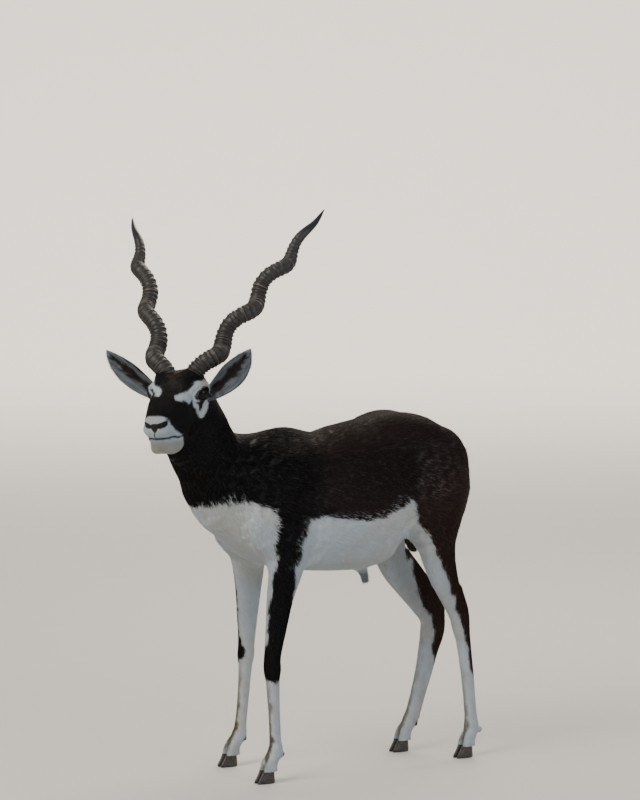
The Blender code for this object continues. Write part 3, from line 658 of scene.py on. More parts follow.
def within(u, v, corners):
    """How far inside a polygon points lie, negative outside it."""
    nearest, inside = np.full(u.shape, 1.0), np.zeros(u.shape, bool)
    for (au, av), (bu, bv) in zip(corners, corners[1:] + corners[:1]):
        t = np.clip(((u - au) * (bu - au) + (v - av) * (bv - av)) / ((bu - au) ** 2 + (bv - av) ** 2), 0, 1)
        nearest = np.minimum(nearest, np.hypot(u - au - t * (bu - au), v - av - t * (bv - av)))
        inside ^= ((av > v) != (bv > v)) & (u < (bu - au) * (v - av) / (bv - av + 1e-12) + au)
    return np.where(inside, nearest, -nearest)


# The white of the belly, as an outline seen from the side: distance tailward and height
BELLY_PATCH = [
    (-0.48, 0.646), (-0.416, 0.650), (-0.385, 0.660), (-0.354, 0.663), (-0.302, 0.658), (-0.278, 0.648),
    (-0.258, 0.628), (-0.259, 0.560), (-0.190, 0.560), (-0.167, 0.611), (-0.137, 0.618), (-0.072, 0.607),
    (-0.015, 0.601), (0.039, 0.610), (0.084, 0.627), (0.112, 0.640), (0.122, 0.636), (0.133, 0.604),
    (0.163, 0.560), (0.191, 0.506), (0.226, 0.449), (0.245, 0.388), (0.245, 0.20), (-0.48, 0.20),
]
# The dark line down each leg: height, and where it starts and stops in degrees round the leg
FORE_STRIPE = {
    1: ((0.620, 30, 125), (0.564, 32, 110), (0.500, 19, 102), (0.435, 8, 143), (0.380, 8, 175),
        (0.330, 10, 190), (0.300, -30, 200), (0.275, -100, 230), (0.255, -60, 220), (0.243, 0, 200),
        (0.236, 60, 120)),
    -1: ((0.620, 30, 125), (0.564, 30, 110), (0.500, 12, 102), (0.435, 4, 143), (0.380, 2, 175),
         (0.330, 2, 190), (0.305, -8, 190), (0.279, -66, 190), (0.262, -44, 180), (0.250, 6, 170),
         (0.236, 60, 120)),
}
HIND_STRIPE = {
    1: ((0.640, 38, 170), (0.600, 38, 170), (0.558, 44, 175), (0.504, 58, 200), (0.449, 74, 255),
        (0.400, 74, 285), (0.350, 66, 300), (0.300, 62, 300), (0.280, 80, 295), (0.260, 92, 290),
        (0.220, 110, 275), (0.190, 140, 240)),
    -1: ((0.640, 38, 170), (0.600, 38, 172), (0.558, 44, 178), (0.504, 58, 190), (0.449, 74, 203),
         (0.400, 74, 214), (0.375, 74, 240), (0.345, 66, 278), (0.310, 70, 262), (0.280, 80, 236),
         (0.260, 92, 220), (0.220, 120, 204), (0.190, 140, 190)),
}
# Head markings, as outlines on the hide. BROW and BAND give distances outward and tailward;
# RING, LINE, SLIT, LIP and MOUTH tailward and up; NOSTRIL and PAD outward and up. The dark
# bridge between the brows lies a little to the left, by MIDDLE_SHIFT
BROW = [
    (0.0150, -0.066), (0.0215, -0.048), (0.0330, -0.023), (0.0440, -0.010), (0.0490, 0.010),
    (0.0536, 0.0215), (0.0610, 0.030), (0.0640, 0.024), (0.0600, 0.017), (0.0566, 0.001),
    (0.0520, -0.0118), (0.0475, -0.0151), (0.0455, -0.0187), (0.0370, -0.047), (0.0285, -0.069),
    (0.0190, -0.076),
]
BAND = [
    (-0.001, -0.1410), (0.008, -0.1408), (0.0212, -0.1360), (0.0265, -0.1320), (0.033, -0.1320),
    (0.030, -0.170), (-0.001, -0.170),
]
RING = [
    (-0.0206, -0.004), (-0.0230, -0.016), (-0.0105, -0.038), (-0.0028, -0.052), (0.0109, -0.0637),
    (0.0199, -0.0629), (0.0360, -0.052), (0.0470, -0.030), (0.0510, -0.005), (0.0480, 0.012),
    (0.0400, 0.022), (0.0083, 0.021), (-0.0067, 0.017), (-0.0150, 0.006),
]
LINE = [
    (0.0200, 0.0290), (0.0320, 0.0290), (0.0450, 0.0240), (0.0535, 0.0120), (0.0560, -0.008),
    (0.0510, -0.032), (0.0400, -0.053),
]
SLIT = [
    (-0.0120, -0.0130), (-0.0080, -0.0280), (0.0020, -0.0440), (0.0080, -0.0410), (0.0075, -0.0280),
    (0.0050, -0.0150),
]
LIP = [
    (-0.170, 0.003), (-0.1314, -0.002), (-0.1343, -0.013), (-0.1294, -0.0236), (-0.1163, -0.035),
    (-0.0974, -0.049), (-0.0880, -0.0576), (-0.0870, -0.064), (-0.0885, -0.074), (-0.0910, -0.081),
    (-0.0960, -0.095), (-0.0980, -0.115), (-0.170, -0.115),
]
# NOSTRIL outlines the black of the nostrils: their dark skin, with painted shade inside the holes
NOSTRIL = [
    (0.0062, -0.0020), (0.0140, 0.0022), (0.0220, 0.0035), (0.0268, 0.0020), (0.0295, -0.0050),
    (0.0280, -0.0095), (0.0230, -0.0118), (0.0140, -0.0135), (0.0080, -0.0105),
]
PAD = [
    (-0.0085, 0.0008), (0.0085, 0.0008), (0.0105, -0.0060), (0.0085, -0.0135), (0.0018, -0.0210),
    (-0.0018, -0.0210), (-0.0085, -0.0135), (-0.0105, -0.0060),
]
MOUTH = [(-0.165, -0.0340), (-0.152, -0.0372), (-0.124, -0.0465), (-0.088, -0.0605)]
MIDDLE_SHIFT = 0.008


def round_leg(x, y, z, way):
    """Degrees round a leg's middle, 0 in front, 90 outside and 180 behind, and distance from it."""
    path = fan(way, 8)[::-1]
    outward, tailward = x - np.interp(z, path[:, 0], path[:, 1]), y - np.interp(z, path[:, 0], path[:, 2])
    return np.degrees(np.arctan2(outward, -tailward)), np.hypot(outward, tailward)


def band(turn, low, high):
    """How far inside a range of degrees, in degrees."""
    middle, half = (low + high) / 2, (high - low) / 2
    return half - np.abs((turn - middle + 180) % 360 - 180)


def paint(colour, layers, mask=1.0):
    """Lays colours over painted points, each over the last, where its share and the mask say."""
    for code, share in layers:
        colour += (np.array(linear(code)[:3]) - colour) * np.clip(mask * share, 0, 1)[:, None]


HEAD_TURNED = np.array(head.to_3x3())


def in_head(points):
    """Points in the head's own frame."""
    return (points - np.array(HEAD_AT)) @ HEAD_TURNED


def leg_marks(x, y, z):
    """How far inside a leg's dark line points lie, whether on the pale leg, and how dusty."""
    stripe, pale, dust = np.full(len(x), -1.0), np.zeros(len(x), bool), np.zeros(len(x))
    side_of = np.where(x > 0, 1, -1)
    for way, rows, front, top, sock, dusty in (
        (FORE_WAY, FORE_STRIPE, True, 0.615, 0.236, (0.2, 0.9, 1.0, 0.6, 0.3)),
        (HIND_WAY, HIND_STRIPE, False, 0.64, 0.186, (0.2, 0.8, 0.7, 0.2, 0.0)),
    ):
        for side in (1, -1):
            mine = (side_of == side) & ((y < 0.02) == front) & (z < top)
            if not mine.any():
                continue
            high = z[mine]
            turn, away = round_leg(side * x[mine], y[mine], high, way[side])
            heights, starts, stops = np.array(rows[side][::-1]).T
            start, stop = np.interp(high, heights, starts), np.interp(high, heights, stops)
            inside = np.radians(band(turn, start, stop)) * np.maximum(away, 0.012)
            reach = np.interp(high, [0.46, 0.52, 0.60], [0.09, 0.075, 0.075])
            inside = np.minimum(inside, np.minimum(high - sock, reach - away))
            if front:
                inside = np.minimum(inside, y[mine] + np.interp(high, [0.46, 0.52], [0.35, 0.262]))
            stripe[mine] = np.maximum(stripe[mine], inside)
            pale[mine] = high < 0.47
            in_front = soft(band(turn, -24, 26), 22)
            dust[mine] = np.interp(high, [0.03, 0.05, 0.09, 0.20, 0.235], dusty) * in_front
    return np.where((y > 0.02) & (z > 0.47) & (np.abs(x) < 0.055), -1, stripe), pale, dust


def dressed(points):
    """The colour of the hair at points of the hide, and how bare the hide is there."""
    from_eyes = np.linalg.norm(points - np.array(HEAD_AT), axis=1)[:, None]
    ragged = np.interp(from_eyes, [0.17, 0.23], [0.0007, 0.0022])
    points = points + ragged * np.stack([ripple(points, 0.012, seed) for seed in range(3)], 1)
    x, y, z = points.T
    out = np.abs(x)
    colour = np.tile(np.array(linear("080708")[:3]), (len(points), 1))

    # Black toward the head and brown on the haunch, with a few grey hairs there
    grizzle = soft(ripple(points, 0.006, 9) - 0.9, 0.5) * soft(0.07 - np.hypot(y - 0.19, z - 0.69), 0.06)
    paint(colour, (
        ("1F1513", soft(y + 0.13 + 0.02 * ripple(points, 0.05, 5), 0.14)),
        ("2C1A14", soft(y - 0.20, 0.14) * soft(0.70 - z, 0.20) * 0.6),
        ("0D0A0A", soft(0.12 - np.abs(y - 0.06), 0.15) * soft(z - 0.66, 0.08) * soft(0.76 - z, 0.08) * 0.5),
        ("6A605C", grizzle * 0.35),
    ))
    # White below, with a reddish edge and the dark line down each leg
    stripe, pale_leg, dust = leg_marks(x, y, z)
    pale = within(y, z, BELLY_PATCH)
    pale = np.maximum(pale, np.where((z < 0.60) & (out < 0.07), np.minimum(0.60 - z, 0.062 - out), -1))
    pale = np.where(pale_leg, 0.01, pale)
    white = soft(pale, 0.005) * (1 - soft(stripe, 0.005))
    beyond = np.where(white > 0.5, 0.02, -np.maximum(pale, -stripe))
    edge = np.exp(-(((beyond - 0.003) / 0.006) ** 2)) * (z > 0.47)
    # Scrotum, sheath, dewclaws, the white under the tail and the dark tail
    pouch = np.sqrt((x / 0.030) ** 2 + ((y - 0.205) / 0.034) ** 2 + ((z - 0.543) / 0.062) ** 2)
    dewclaw = np.full(len(points), 1.0)
    for way in (FORE_WAY, HIND_WAY):
        for side in (1, -1):
            foot_x, foot_y = foot_of(way[side], side)
            for part in (-0.010, 0.010):
                there = np.array((foot_x + part, foot_y + 0.034, 0.065))
                dewclaw = np.minimum(dewclaw, np.linalg.norm(points - there, axis=1))
    under = np.exp(-((x / 0.05) ** 2)) * soft(y - 0.24, 0.03) * soft(z - 0.50, 0.05)
    tail = np.where((y > 0.300) & (out < 0.022) & (z > 0.585) & (z < 0.78), 1.0, 0.0)
    paint(colour, (
        ("4A2A1C", edge * (1 - soft(stripe + 0.002, 0.004)) * 0.75),
        ("B7BFC5", white),
        ("B7B2A4", white * soft(ripple(points, 0.07, 3) - 0.3, 1.4) * 0.45),
        # A bluer grey over the white low on the body, from the belly down to the tops of the legs: painted
        # shade under the trunk
        ("8F9AA6", white * soft(0.58 - z, 0.10) * soft(z - 0.30, 0.15) * 0.35),
        ("564B35", dust * white * (z < 0.25)),
        ("2E2523", soft((1 - pouch) * 0.03, 0.006)),
        ("70757C", soft(0.018 - np.hypot(x, y - 0.064), 0.006) * soft(0.462 - z, 0.02)),
        ("1D1815", soft(0.0085 - dewclaw, 0.002)),
        ("CFCDC8", under * (1 - tail) * soft(0.70 - z, 0.03)),
        ("17110F", tail),
    ))

    # The head, in its own frame: brown crown between the horns, white brow, ring and lips
    local = in_head(points)
    mask = soft((points - np.array(collar)) @ np.array(up_neck) - 0.020, 0.02)
    mask = mask * soft(0.17 - np.linalg.norm(local - np.array([0, -0.03, -0.02]), axis=1), 0.01)
    u, v, w = local.T
    out = np.abs(u)
    wide = np.abs(u - MIDDLE_SHIFT * np.interp(v, [-0.12, -0.09, -0.04, 0.0], [0, 1, 1, 0]))
    crown = soft(0.024 - out, 0.012) * soft(v + 0.004, 0.012) * soft(0.055 - v, 0.02) * soft(w - 0.022, 0.01)
    ring = soft(within(v, w, RING), 0.003) * soft(out - 0.036, 0.006)
    line = np.min([np.hypot(v - a - t * (c - a), w - b - t * (d - b))
                   for (a, b), (c, d) in zip(LINE, LINE[1:]) for t in np.linspace(0, 1, 9)], 0)
    turned = np.array(Matrix.Rotation(math.radians(EYE_TURN), 3, "Z"))
    facing, along, up = ((np.stack([out, v, w], 1) - np.array(EYE_AT)) @ turned.T).T
    # The dark round each eye: the lids' own dark skin, widened by painted shade in the socket round it
    lid_skin_and_shade = (1 - np.hypot(along / 0.0228, (up - 0.0005) / 0.0178)) * 0.018
    lip = soft(within(v, w, LIP), 0.004)
    gap = w - np.interp(v, *np.array(MOUTH).T)
    hole = soft(within(out, w, NOSTRIL), 0.0016) * (v < -0.126)
    pad = soft(within(u, w, PAD), 0.0016) * (v < -0.145)
    cleft = soft(0.0011 - out, 0.0008) * soft(w + 0.036, 0.002) * soft(-0.014 - w) * (v < -0.150)
    paint(colour, (
        ("090809", soft(-0.01 - v, 0.05) * soft(w + 0.01, 0.03)),
        ("2E1D14", crown * np.clip(0.28 + 0.45 * ripple(points, 0.006, 31), 0, 1)),
        ("5B5144", crown * soft(v - 0.030, 0.01) * np.clip(0.4 * ripple(points, 0.004, 33), 0, 1)),
        ("B2B9BF", soft(within(wide, v, BROW), 0.003) * soft(w + 0.003, 0.004)),
        ("B4BBC0", ring),
        ("8F8C82", ring * soft(w - 0.010, 0.006) * soft(v - 0.004, 0.006) * 0.7),
        ("0B0909", soft(0.0019 - line, 0.0012) * soft(out - 0.044, 0.004)),
        # Dark lid skin round each eye, with painted shade of the socket round it
        ("0A0808", soft(lid_skin_and_shade, 0.0022) * (facing > 0)),
        ("14100F", soft(within(v, w, SLIT), 0.002) * soft(out - 0.036, 0.006)),
        ("A9B3BB", lip),
        ("97958A", lip * soft(-gap - 0.010, 0.010) * 0.8),
        ("9FA5A8", soft(within(out, v, BAND), 0.003) * soft(w + 0.001, 0.002)),
        ("1D1411", pad),
        # Black in the nostrils: dark skin, with painted shade inside the holes
        ("060505", hole),
        ("0A0807", cleft),
        ("0F0C0B", soft(0.0023 - np.abs(gap), 0.0014) * (v < -0.086) * (v > -0.175)),
    ), mask)
    bare = mask * np.maximum(np.maximum(hole, pad), soft(lid_skin_and_shade - 0.001, 0.002) * (facing > 0))
    return colour, np.maximum(bare, soft(0.0085 - dewclaw, 0.002))


def taken(items, what, wide=3, kind=float):
    """A property of a mesh's points or faces, as the rows of an array."""
    values = np.empty(len(items) * wide, kind)
    items.foreach_get(what, values)
    return values.reshape(-1, wide)


def mark(mesh, colour, bare):
    """Writes colours on a mesh's points, and how bare each one is."""
    layer = mesh.attributes.new("markings", "FLOAT_COLOR", "POINT")
    layer.data.foreach_set("color", np.hstack([colour, np.ones((len(colour), 1))]).ravel())
    mesh.attributes.new("bare", "FLOAT", "POINT").data.foreach_set("value", bare)


# Faint folds lie across the withers and down the chest and groin, where the skin is loose
WITHERS_FOLD_DEPTH, WITHERS_FOLDS_APART = 0.0020, 0.021
CHEST_FOLD_DEPTH, CHEST_FOLDS_APART = 0.0009, 0.030
points, normals = taken(mesh.vertices, "co"), taken(mesh.vertices, "normal")
x, y, z = points.T
wander = 0.010 * ripple(points, 0.10, 71)
withers = soft(0.07 - np.abs(y + 0.235), 0.06) * soft(z - 0.70, 0.06) * soft(np.abs(x) - 0.02, 0.03)
chest = soft(0.10 - np.hypot(y + 0.33, z - 0.60), 0.06)
groin = soft(0.07 - np.hypot(y - 0.125, z - 0.56), 0.06)
across = np.clip(np.sin((y + 0.4 * z + wander) * math.tau / WITHERS_FOLDS_APART), -0.2, 1)
down = np.clip(np.sin((0.9 * y - 0.5 * z + 1.6 * wander) * math.tau / CHEST_FOLDS_APART), 0, 1)
sunk = WITHERS_FOLD_DEPTH * withers * across + CHEST_FOLD_DEPTH * np.maximum(chest, groin) * down
mesh.vertices.foreach_set("co", (points - normals * np.maximum(sunk, 0)[:, None]).ravel())
mesh.update()
mark(mesh, *dressed(taken(mesh.vertices, "co")))


def add(tree, kind, wires=(), stops=(), **settings):
    """A node with its settings, colour stops, and inputs as values or as outputs of other nodes."""
    node = tree.nodes.new(kind)
    for name, value in settings.items():
        setattr(node, name, value)
    for name, value in dict(wires).items():
        if isinstance(value, bpy.types.NodeSocket):
            tree.links.new(value, node.inputs[name])
        else:
            node.inputs[name].default_value = value
    for k, (place, code) in enumerate(stops):
        stop = node.color_ramp.elements[k] if k < 2 else node.color_ramp.elements.new(place)
        stop.position = place
        stop.color = linear(code)
    return node


# Hide under short summer hair, lying flat: hairs about 0.1 mm thick give a soft satin, and the
# grain they make is drawn 1.1 mm wide, so that it shows, over patches 18 mm wide. Lips, nostrils
# and lids are bare and moist
GRAINS_PER_METRE = 900.0
PATCHES_PER_METRE = 55.0
hide_finish, tree, shader = finish_of("sleek hair on hide")
markings = add(tree, "ShaderNodeAttribute", attribute_name="markings")
bare = add(tree, "ShaderNodeAttribute", attribute_name="bare")
place = add(tree, "ShaderNodeTexCoord")
wires = {"Vector": place.outputs["Object"], "Scale": GRAINS_PER_METRE, "Detail": 3.0}
grain = add(tree, "ShaderNodeTexNoise", wires)
wires = {"Vector": place.outputs["Object"], "Scale": PATCHES_PER_METRE, "Detail": 4.0}
patches = add(tree, "ShaderNodeTexNoise", wires)
vary = add(tree, "ShaderNodeMapRange", {"Value": patches.outputs["Fac"], "From Min": 0.3, "From Max": 0.7,
                                        "To Min": 0.72, "To Max": 1.25})
tone = add(tree, "ShaderNodeHueSaturation", {"Color": markings.outputs["Color"],
                                             "Value": vary.outputs["Result"]})
tree.links.new(tone.outputs["Color"], shader.inputs["Base Color"])
sheen = add(tree, "ShaderNodeMapRange", {"Value": bare.outputs["Fac"], "To Min": 0.55, "To Max": 0.38})
tree.links.new(sheen.outputs["Result"], shader.inputs["Roughness"])
bump = add(tree, "ShaderNodeBump", {"Height": grain.outputs["Fac"], "Strength": 0.35, "Distance": 0.0006})
tree.links.new(bump.outputs["Normal"], shader.inputs["Normal"])
shader.inputs["Specular IOR Level"].default_value = 0.25
skin.data.materials.append(hide_finish)
skin.data.transform(placed)
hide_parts("head", "neck", "torso", "tail", "foreleg_left", "foreleg_right", "hindleg_left",
            "hindleg_right")
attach(skin, "root")

# Coat
# Short hair that lies flat from the nose back and down to the feet, shortest on the face and
# longest on the tail. It grows from the hide in tiny tufts that overlap like shingle.


def corners_of(mesh):
    """The triangles of a mesh, in the animal's own place: their corners' points, normals and indices."""
    mesh.calc_loop_triangles()
    faces = taken(mesh.loop_triangles, "vertices", 3, np.int32)
    points = taken(mesh.vertices, "co")[faces] - np.array(placed.translation)
    return points, taken(mesh.vertices, "normal")[faces], faces


def area_of(corners):
    return np.linalg.norm(np.cross(corners[:, 1] - corners[:, 0], corners[:, 2] - corners[:, 0]), axis=1) / 2


def unit(rows):
    return rows / np.maximum(np.linalg.norm(rows, axis=1, keepdims=True), 1e-9)


def scattered(corners, normals, hoped, chance):
    """Random roots on triangles, about as many as hoped: each one's triangle, shares, place and normal."""
    count = np.floor(hoped + chance.uniform(0, 1, len(hoped))).astype(int)
    face = np.repeat(np.arange(len(count)), count)
    share = chance.dirichlet([1, 1, 1], len(face))
    roots = (corners[face] * share[:, :, None]).sum(1)
    return face, share, roots, unit((normals[face] * share[:, :, None]).sum(1))


def past_shoulder(points):
    """How far points lie before the shoulders, toward the head."""
    return (points - np.array([0.0, -0.30, 0.69])) @ np.array([0, -0.78, 0.62])


def lie(points):
    """The way the hair lies at points, how far past the collar they are, and which are on the tail."""
    x, y, z = points.T
    local = in_head(points)
    past = (points - np.array(collar)) @ np.array(up_neck)
    near_leg = np.where(y < -0.02, 1.6 - np.abs(y + 0.24) / 0.10, 1.7 - np.abs(y - 0.235) / 0.10)
    legs = np.interp(z, [0.44, 0.66], [1.0, 0.0]) * np.clip(near_leg, 0, 1)
    neck = np.clip(past_shoulder(points) / 0.08 + 0.5, 0, 1)
    chest = np.clip((-0.29 - y) / 0.08, 0, 1) * np.clip((0.70 - z) / 0.06, 0, 1)
    side = np.sign(local[:, :1]) * np.clip(np.abs(local[:, :1]) / 0.03, 0, 1)
    from_nose = np.hstack([side * 0.25, np.ones_like(side), np.full_like(side, -0.25)]) @ HEAD_TURNED.T
    # Back along the trunk, down the legs, down the neck and the chest, and back from the nose
    found = np.stack([np.zeros_like(z), np.full_like(z, 0.94), np.where(z > 0.76, -0.08, -0.34)], 1)
    for way, share in (((0.0, 0.10, -1.0), legs), ((-0.16, 0.58, -1.02), neck), ((0.0, 0.25, -1.0), chest),
                       (from_nose, np.clip(past / 0.05, 0, 1))):
        found = found * (1 - share[:, None]) + np.array(way) * share[:, None]
    tailed = (y > 0.325) & (np.abs(x) < 0.024) & (z > 0.58) & (z < 0.79)
    found[tailed] = [0.0, 0.05, -1.0]
    return unit(found), past, tailed


# A tuft is rooted this deep in the hide, and is thickest near its root: how far along its length
# and how thick for its width. Its way swerves a little from the lie of the hair
TUFT_ROOT = 0.0004
TUFT_CREST = 0.30
TUFT_THICK = 0.35
TUFT_SWERVE = 0.16


def tufts(name, roots, normals, ways, lengths, widths, colours, spread, chance, lift=0.07):
    """One piece of the coat: a thin three-sided blade of hair at each root, with its bake map.

    lift says how far the tips stand off the hide, as a share of the length.
    """
    n = len(roots)
    roots = roots + np.array(placed.translation)
    along = unit(ways - normals * (ways * normals).sum(1, keepdims=True))
    across = np.cross(normals, along)
    swerve = chance.normal(0, TUFT_SWERVE, (n, 1))
    along = unit(along + across * swerve)
    across = np.cross(normals, along)
    size, wide = lengths[:, None], widths[:, None]
    base = roots - normals * TUFT_ROOT
    tips = roots + along * size + normals * (lift * size * chance.uniform(0.5, 1.5, (n, 1)) + 0.0003)
    crests = base + normals * (TUFT_ROOT + wide * TUFT_THICK) + along * size * TUFT_CREST
    points = np.stack([base + across * wide / 2, base - across * wide / 2, crests, tips], 1)
    faces = np.array([(0, 1, 2), (0, 2, 3), (2, 1, 3), (1, 0, 3)])
    faces = (faces[None] + 4 * np.arange(n)[:, None, None]).reshape(-1, 3)
    mesh = bpy.data.meshes.new(name)
    mesh.vertices.add(4 * n)
    mesh.vertices.foreach_set("co", points.ravel())
    mesh.loops.add(12 * n)
    mesh.loops.foreach_set("vertex_index", faces.ravel().astype(np.int32))
    mesh.polygons.add(4 * n)
    mesh.polygons.foreach_set("loop_start", np.arange(0, 12 * n, 3, dtype=np.int32))
    mesh.update(calc_edges=True)
    mesh.shade_smooth()
    pale = np.clip(colours.mean(1) / 0.4, 0, 1)[:, None]
    # Each tuft gets a random tone of its own. Its root is painted darker as shade among the hairs and its
    # tip lighter as a painted highlight, both less on white hair
    shade = 1 + (chance.normal(0, 0.11, (n, 1)) + np.array([-0.14, -0.14, -0.03, 0.10])) * (1 - 0.62 * pale)
    tone_and_painted_shade = np.clip(colours[:, None, :] * shade[:, :, None], 0, 1)
    layer = mesh.attributes.new("markings", "FLOAT_COLOR", "POINT")
    layer.data.foreach_set("color", np.concatenate([tone_and_painted_shade, np.ones((n, 4, 1))], 2).ravel())
    # Light falls on the tufts as on the sleek coat they make together, and only breaks up a little
    leaning = unit(normals + chance.normal(0, 1, (n, 3)) * (0.20 - 0.12 * pale))
    mesh.normals_split_custom_set_from_vertices(np.repeat(leaning, 4, axis=0))
    patch = np.array([(-0.5, -0.5), (0.5, -0.5), (0.0, 0.0), (0.0, 0.5)]) * 0.003
    places = (spread[:, None, :] + patch[None]).reshape(-1, 2)
    uv = mesh.uv_layers.new(name="OFBake")
    uv.data.foreach_set("uv", np.clip(places, 0.001, 0.999)[faces.ravel()].ravel())
    mesh.materials.append(hair_finish)
    piece = stood(name, mesh)
    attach(piece, "root")


def unwrapped(points, centre, axis, out):
    """Where points fall when the hide round an axis is slit along its far side and laid flat."""
    axis, out = unit(np.array([axis], float))[0], np.array(out, float)
    out = out - axis * (out @ axis)
    out /= np.linalg.norm(out)
    away = points - np.array(centre)
    along = away @ axis
    round_it = np.arctan2(away @ np.cross(axis, out), away @ out) / math.tau + 0.5
    return np.stack([round_it * 0.98 + 0.01, np.interp(along, [along.min(), along.max()], [0.01, 0.99])], 1)


# Hair: each shaft is a clear tube over dark or white pith, sleek with its own grease, so the
# tufts shine softly along the coat
hair_finish, tree, shader = finish_of("sleek hair")
markings = add(tree, "ShaderNodeAttribute", attribute_name="markings")
tree.links.new(markings.outputs["Color"], shader.inputs["Base Color"])
shader.inputs["Roughness"].default_value = 0.56
shader.inputs["Specular IOR Level"].default_value = 0.07
shader.inputs["IOR"].default_value = 1.55

chance = np.random.default_rng(12)
corners, normals, _ = corners_of(skin.data)
middles = corners.mean(1)
tailed = lie(middles)[2]
z = middles[:, 2]
local = in_head(middles)
headness = np.clip((0.19 - np.linalg.norm(local - np.array([0, -0.02, -0.02]), axis=1)) / 0.05, 0, 1)
# Lengths in metres: longer up the legs to the trunk, short on the face, longest on the tail
length = np.interp(z, [0.03, 0.10, 0.30, 0.46, 0.60], [0.0045, 0.0055, 0.0075, 0.011, 0.0145])
facial = np.interp(local[:, 1], [-0.16, -0.12, -0.04, 0.06], [0.0022, 0.0034, 0.0050, 0.0080])
length = np.where(headness > 0, length * (1 - headness) + facial * headness, length)
length = np.where(tailed, np.interp(z, [0.60, 0.66, 0.75], [0.030, 0.026, 0.016]), length)
width = np.interp(length, [0.002, 0.005, 0.009, 0.0145, 0.030], [0.0006, 0.0010, 0.0013, 0.0018, 0.0020])
cover = np.interp(length, [0.002, 0.005, 0.0145, 0.030], [1.7, 1.6, 2.0, 4.0])
hoped = area_of(corners) * cover / (length * width / 2)
face, _, roots, normals = scattered(corners, normals, hoped, chance)
ways, past, tailed = lie(roots)
colours, bare = dressed(roots + chance.normal(0, 0.0012, roots.shape))
keep = (bare < 0.3) & (roots[:, 2] > CORONET + 0.001)
lengths = length[face] * chance.uniform(0.75, 1.25, len(face))
widths = width[face] * chance.uniform(0.8, 1.2, len(face))
x, y, z = roots.T
local = in_head(roots)
on_head = past > 0.02
on_neck = ~on_head & (past_shoulder(roots) > 0)
on_leg = ~on_head & ~on_neck & (z < np.where(y < 0, 0.46, 0.48))
trunk = ~on_head & ~on_neck & ~on_leg
SNOUT, SHOULDER_END, HAUNCH_START = -0.035, -0.06, 0.13
# Each piece of the coat: which roots it has, and the frame, middle, axis and side it is laid flat by
coat = {"tail": (tailed, roots, (0, 0.335, 0.68), (0, 0, 1), (0, 1, 0))}
for label, s in (("left", 1), ("right", -1)):
    here, cheek, out = x * s > 0, on_head & (local[:, 0] * s > 0), (s, 0, 0)
    skull = (local, (0, 0, -0.02), (0, 1, 0), out)
    barrel = (roots, (0, 0, 0.65), (0, 1, 0), out)
    rump = (roots, (0, 0.2, 0.65), (0, 1, 0), out)
    leg = (s * 0.10, -0.22, 0.2) if s < 0 else (0.09, -0.24, 0.2)
    coat |= {
        label + " face": (cheek & (local[:, 1] < SNOUT), *skull),
        label + " crown": (cheek & (local[:, 1] >= SNOUT), *skull),
        label + " neck": (on_neck & here, roots, (0.01, -0.37, 0.76), (-0.16, 0.58, -1.02), out),
        label + " shoulder": (trunk & here & (y < SHOULDER_END), *barrel),
        label + " flank": (trunk & here & (y >= SHOULDER_END) & (y < HAUNCH_START), *barrel),
        label + " haunch": (trunk & here & (y >= HAUNCH_START) & ~tailed, *rump),
        label + " foreleg": (on_leg & here & (y < 0), roots, leg, (0, 0, 1), out),
        label + " hindleg": (on_leg & here & (y >= 0), roots, (s * 0.08, 0.27, 0.2), (0, 0, 1), out),
    }
for name, (which, places, centre, axis, out) in coat.items():
    which = which & keep
    spread = unwrapped(places[which], centre, axis, out)
    tufts("coat_of_the_" + name.replace(" ", "_"), roots[which], normals[which], ways[which],
          lengths[which], widths[which], colours[which], spread, chance)

# Eyes
# Two large dark globes set deep in their sockets. Each is a ball with a clear cornea over a
# nearly black iris, whose pupil is a bar that lies level.
EYE_BALL = EYE_RADIUS - 0.0002
IRIS_SHARE = 0.85
PUPIL_HALF = (0.22, 0.42)

# Wet cornea over dark brown iris: water and tissue of index 1.38, mirror smooth, so the eye
# shows one crisp light
eye_finish, tree, shader = finish_of("wet dark eye")
iris = add(tree, "ShaderNodeAttribute", attribute_name="iris")
ramp = add(tree, "ShaderNodeValToRGB", {"Fac": iris.outputs["Fac"]},
           stops=((0.25, "050404"), (0.40, "160B06"), (0.86, "0E0705"), (0.97, "0A0606")))
tree.links.new(ramp.outputs["Color"], shader.inputs["Base Color"])
shader.inputs["Roughness"].default_value = 0.04
shader.inputs["IOR"].default_value = 1.38
shader.inputs["Specular IOR Level"].default_value = 0.25
for label, s in (("left", 1), ("right", -1)):
    form = bmesh.new()
    bmesh.ops.create_uvsphere(form, u_segments=48, v_segments=32, radius=1.0)
    shade = form.verts.layers.float.new("iris")
    turn = head @ Matrix.Translation(EYE_AT * Vector((s, 1, 1)))
    turn = turn @ Matrix.Rotation(-s * math.radians(EYE_TURN), 4, "Z")
    turn = turn @ Matrix.Rotation(s * math.pi / 2, 4, "Y")
    for vert in form.verts:
        across, level, front = vert.co
        pupil = math.hypot(across / PUPIL_HALF[0], level / PUPIL_HALF[1]) <= 1
        inner = 0.1 if pupil else min(1.0, math.hypot(across, level) / IRIS_SHARE)
        vert[shade] = inner if front > 0 else 1.0
        vert.co *= EYE_BALL
    bmesh.ops.transform(form, matrix=placed @ turn, verts=form.verts)
    mesh = bpy.data.meshes.new("eye")
    form.to_mesh(mesh)
    form.free()
    mesh.shade_smooth()
    mesh.materials.append(eye_finish)
    ball = stood("eyeball_" + label, mesh)
    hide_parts("eye_" + label)
    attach(ball, "root")

